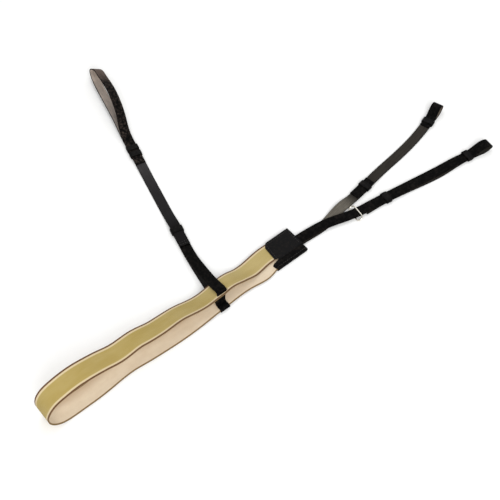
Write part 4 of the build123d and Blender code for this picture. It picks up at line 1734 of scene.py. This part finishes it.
    def build(self, shop: Workshop, finishes: Finishes) -> None:
        """Build both straps in two pieces each, the short tail, the keepers and the ring."""
        section = self.straps.section()
        top = Route(self.top_knots(), self.near_side).stations(3.0, 5)
        under = Route(self.under_knots(), self.far_side).stations(3.0, 5)
        point = shop.layout.point
        jobs = (
            ("trunk_top_leather", top, self.top_seam, True, finishes.flesh_top,
             ("root", "trunk"), (Vector((77, 24, 4)), Vector((92, 24, 4))), ["trunk_upper_strap"]),
            ("lower_arm_leather", top, self.top_seam, False, finishes.flesh_top,
             ("trunk", "lower_fork"), (Vector((178, 7.3, 4)), Vector((194, 3.5, 4))),
             ["lower_fork_strap"]),
            ("trunk_under_leather", under, self.under_seam, True, finishes.flesh_under,
             ("root", "trunk"), (Vector((77, 24, 4)), Vector((92, 24, 4))),
             ["trunk_lower_strap", "trunk_sewn_ends"]),
            ("upper_arm_leather", under, self.under_seam, False, finishes.flesh_under,
             ("trunk", "upper_fork"), (Vector((215, 30.5, 4)), Vector((231, 33, 4))),
             ["upper_fork_strap"]),
        )
        for name, stations, seam, before, flesh, bodies, reach, nodes in jobs:
            split = next(order for order, station in enumerate(stations) if station.place.x >= seam)
            part = stations[:split + 1] if before else stations[split:]
            leather = finishes.turned(flesh) if stations is under else finishes.strap(flesh)
            made = shop.strap(name, section, part, leather)
            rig.blend(made, *bodies, start=point(reach[0]), end=point(reach[1]))
            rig.replaces(made, *nodes)
            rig.slot(made, "black_strap")
        self.build_tail(shop, finishes)
        self.build_ring(shop, finishes)
        for order, end in enumerate(("inner", "outer")):
            lower = Keeper(self.lower_line, self.lower_keepers[order], 2)
            lower.build(shop, f"lower_fork_{end}_keeper", self.straps, finishes.keeper)
            x = self.upper_keepers[order]
            upper = Keeper(Line(x, self.upper_plan(x), self.upper_course(x)), 0.0, 2)
            upper.build(shop, f"upper_fork_{end}_keeper", self.straps, finishes.keeper)

    def build_tail(self, shop: Workshop, finishes: Finishes) -> None:
        """Build the short strap end that lies on the upper arm beside the ring."""
        second = self.straps.layer(2)
        knots = [self.upper_at(x, second) for x in (226, 240, 255, 275)]
        tail = shop.strap("upper_tail_leather", self.straps.section(),
                          Route(knots, self.far_side).stations(3.0, 5),
                          finishes.strap(finishes.flesh_side))
        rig.ride(tail, "upper_fork")
        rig.replaces(tail, "upper_fork_tail")
        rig.slot(tail, "black_strap")


# ---------------------------------------------------------------- the studio
@dataclass(frozen=True)
class Softbox:
    """One square soft light that faces the middle of the harness.

    Args:
        name: The light's name.
        place: Where it hangs, in metres.
        size: Its side, in metres.
        power: Its power in watts.
    """

    name: str
    place: tuple[float, float, float]
    size: float
    power: float

    def hang(self) -> None:
        """Add the light to the scene."""
        light = bpy.data.lights.new(self.name, "AREA")
        light.shape = "SQUARE"
        light.size = self.size
        light.energy = self.power
        lamp = bpy.data.objects.new(self.name, light)
        lamp.location = self.place
        lamp.rotation_mode = "QUATERNION"
        lamp.rotation_quaternion = (-Vector(self.place)).to_track_quat("-Z", "Y")
        bpy.context.scene.collection.objects.link(lamp)


@dataclass
class Studio:
    """The pale floor, soft light and camera.

    Args:
        target: What the camera looks at, in the drawing's frame.
        azimuth: The camera's direction round the harness, in degrees from the near side.
        elevation: Its height above the horizon, in degrees.
        distance: How far it stands from its target, in metres.
        lens: Its focal length in millimetres.
        sensor: Its sensor's width in millimetres.
        sky: Strength of the even light from all round.
        floor_reach: Half the floor's side, in metres.
        floor_drop: How far the floor lies under the harness, in metres.
        softboxes: The lights.
    """

    target: Vector = field(default_factory=lambda: Vector((0.0, 65.5, 0.0)))
    azimuth: float = -40.0
    elevation: float = 55.0
    distance: float = 1.75
    lens: float = 70.0
    sensor: float = 36.0
    sky: float = 0.7
    floor_reach: float = 6.0
    floor_drop: float = 0.0004
    softboxes: tuple[Softbox, ...] = (Softbox("key_light", (-1.1, -2.3, 1.9), 2.2, 70.0),
                                      Softbox("fill_light", (1.5, 1.3, 2.6), 2.6, 24.0))

    def place_camera(self, layout: Layout) -> None:
        """Create the camera and make it the scene's own."""
        camera = bpy.data.objects.new("camera", bpy.data.cameras.new("camera"))
        camera.data.lens = self.lens
        camera.data.sensor_width = self.sensor
        camera.data.clip_start = 0.05
        turn, rise = math.radians(self.azimuth), math.radians(self.elevation)
        back = Vector((math.sin(turn) * math.cos(rise), -math.cos(turn) * math.cos(rise),
                       math.sin(rise)))
        camera.location = layout.point(self.target) + back * self.distance
        camera.rotation_mode = "QUATERNION"
        camera.rotation_quaternion = (-back).to_track_quat("-Z", "Y")
        bpy.context.scene.collection.objects.link(camera)
        bpy.context.scene.camera = camera

    def build(self, layout: Layout) -> None:
        """Build the floor, the lights, the sky and the camera."""
        bm = bmesh.new()
        bmesh.ops.create_grid(bm, x_segments=1, y_segments=1, size=self.floor_reach)
        bmesh.ops.translate(bm, vec=(0, 0, -self.floor_drop), verts=bm.verts[:])
        mesh = bpy.data.meshes.new("floor")
        bm.to_mesh(mesh)
        bm.free()
        mesh.materials.append(FloorFinish().make())
        floor = bpy.data.objects.new("floor", mesh)
        bpy.context.scene.collection.objects.link(floor)
        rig.stage(floor)
        for softbox in self.softboxes:
            softbox.hang()
        world = bpy.data.worlds.new("studio")
        world.use_nodes = True
        background = world.node_tree.nodes["Background"]
        background.inputs["Color"].default_value = (1.0, 1.0, 1.0, 1.0)
        background.inputs["Strength"].default_value = self.sky
        bpy.context.scene.world = world
        bpy.context.scene.view_settings.view_transform = "Standard"
        self.place_camera(layout)


def as_lists(box: tuple[Vector, Vector]) -> list[list[float]]:
    """A box's two corners as plain lists."""
    return [list(corner) for corner in box]


def main() -> None:
    """Build the harness over its frame, and write the two boxes that show its size."""
    logging.basicConfig(level=logging.INFO, format="%(name)s: %(message)s")
    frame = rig.load()
    cad_box = as_lists(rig.bounds())
    LOG.info("frame: %d CAD nodes", len(frame["nodes"]))
    layout = Layout.from_frame()
    shop = Workshop(layout)
    Studio().build(layout)
    finishes = Finishes()
    for part in (Band(), Tab(), SideStrap(), Fork()):
        part.build(shop, finishes)
    with open("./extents.json", "w") as file:
        json.dump({"cad": cad_box, "visual": as_lists(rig.bounds())}, file)


if __name__ == "__main__":
    main()
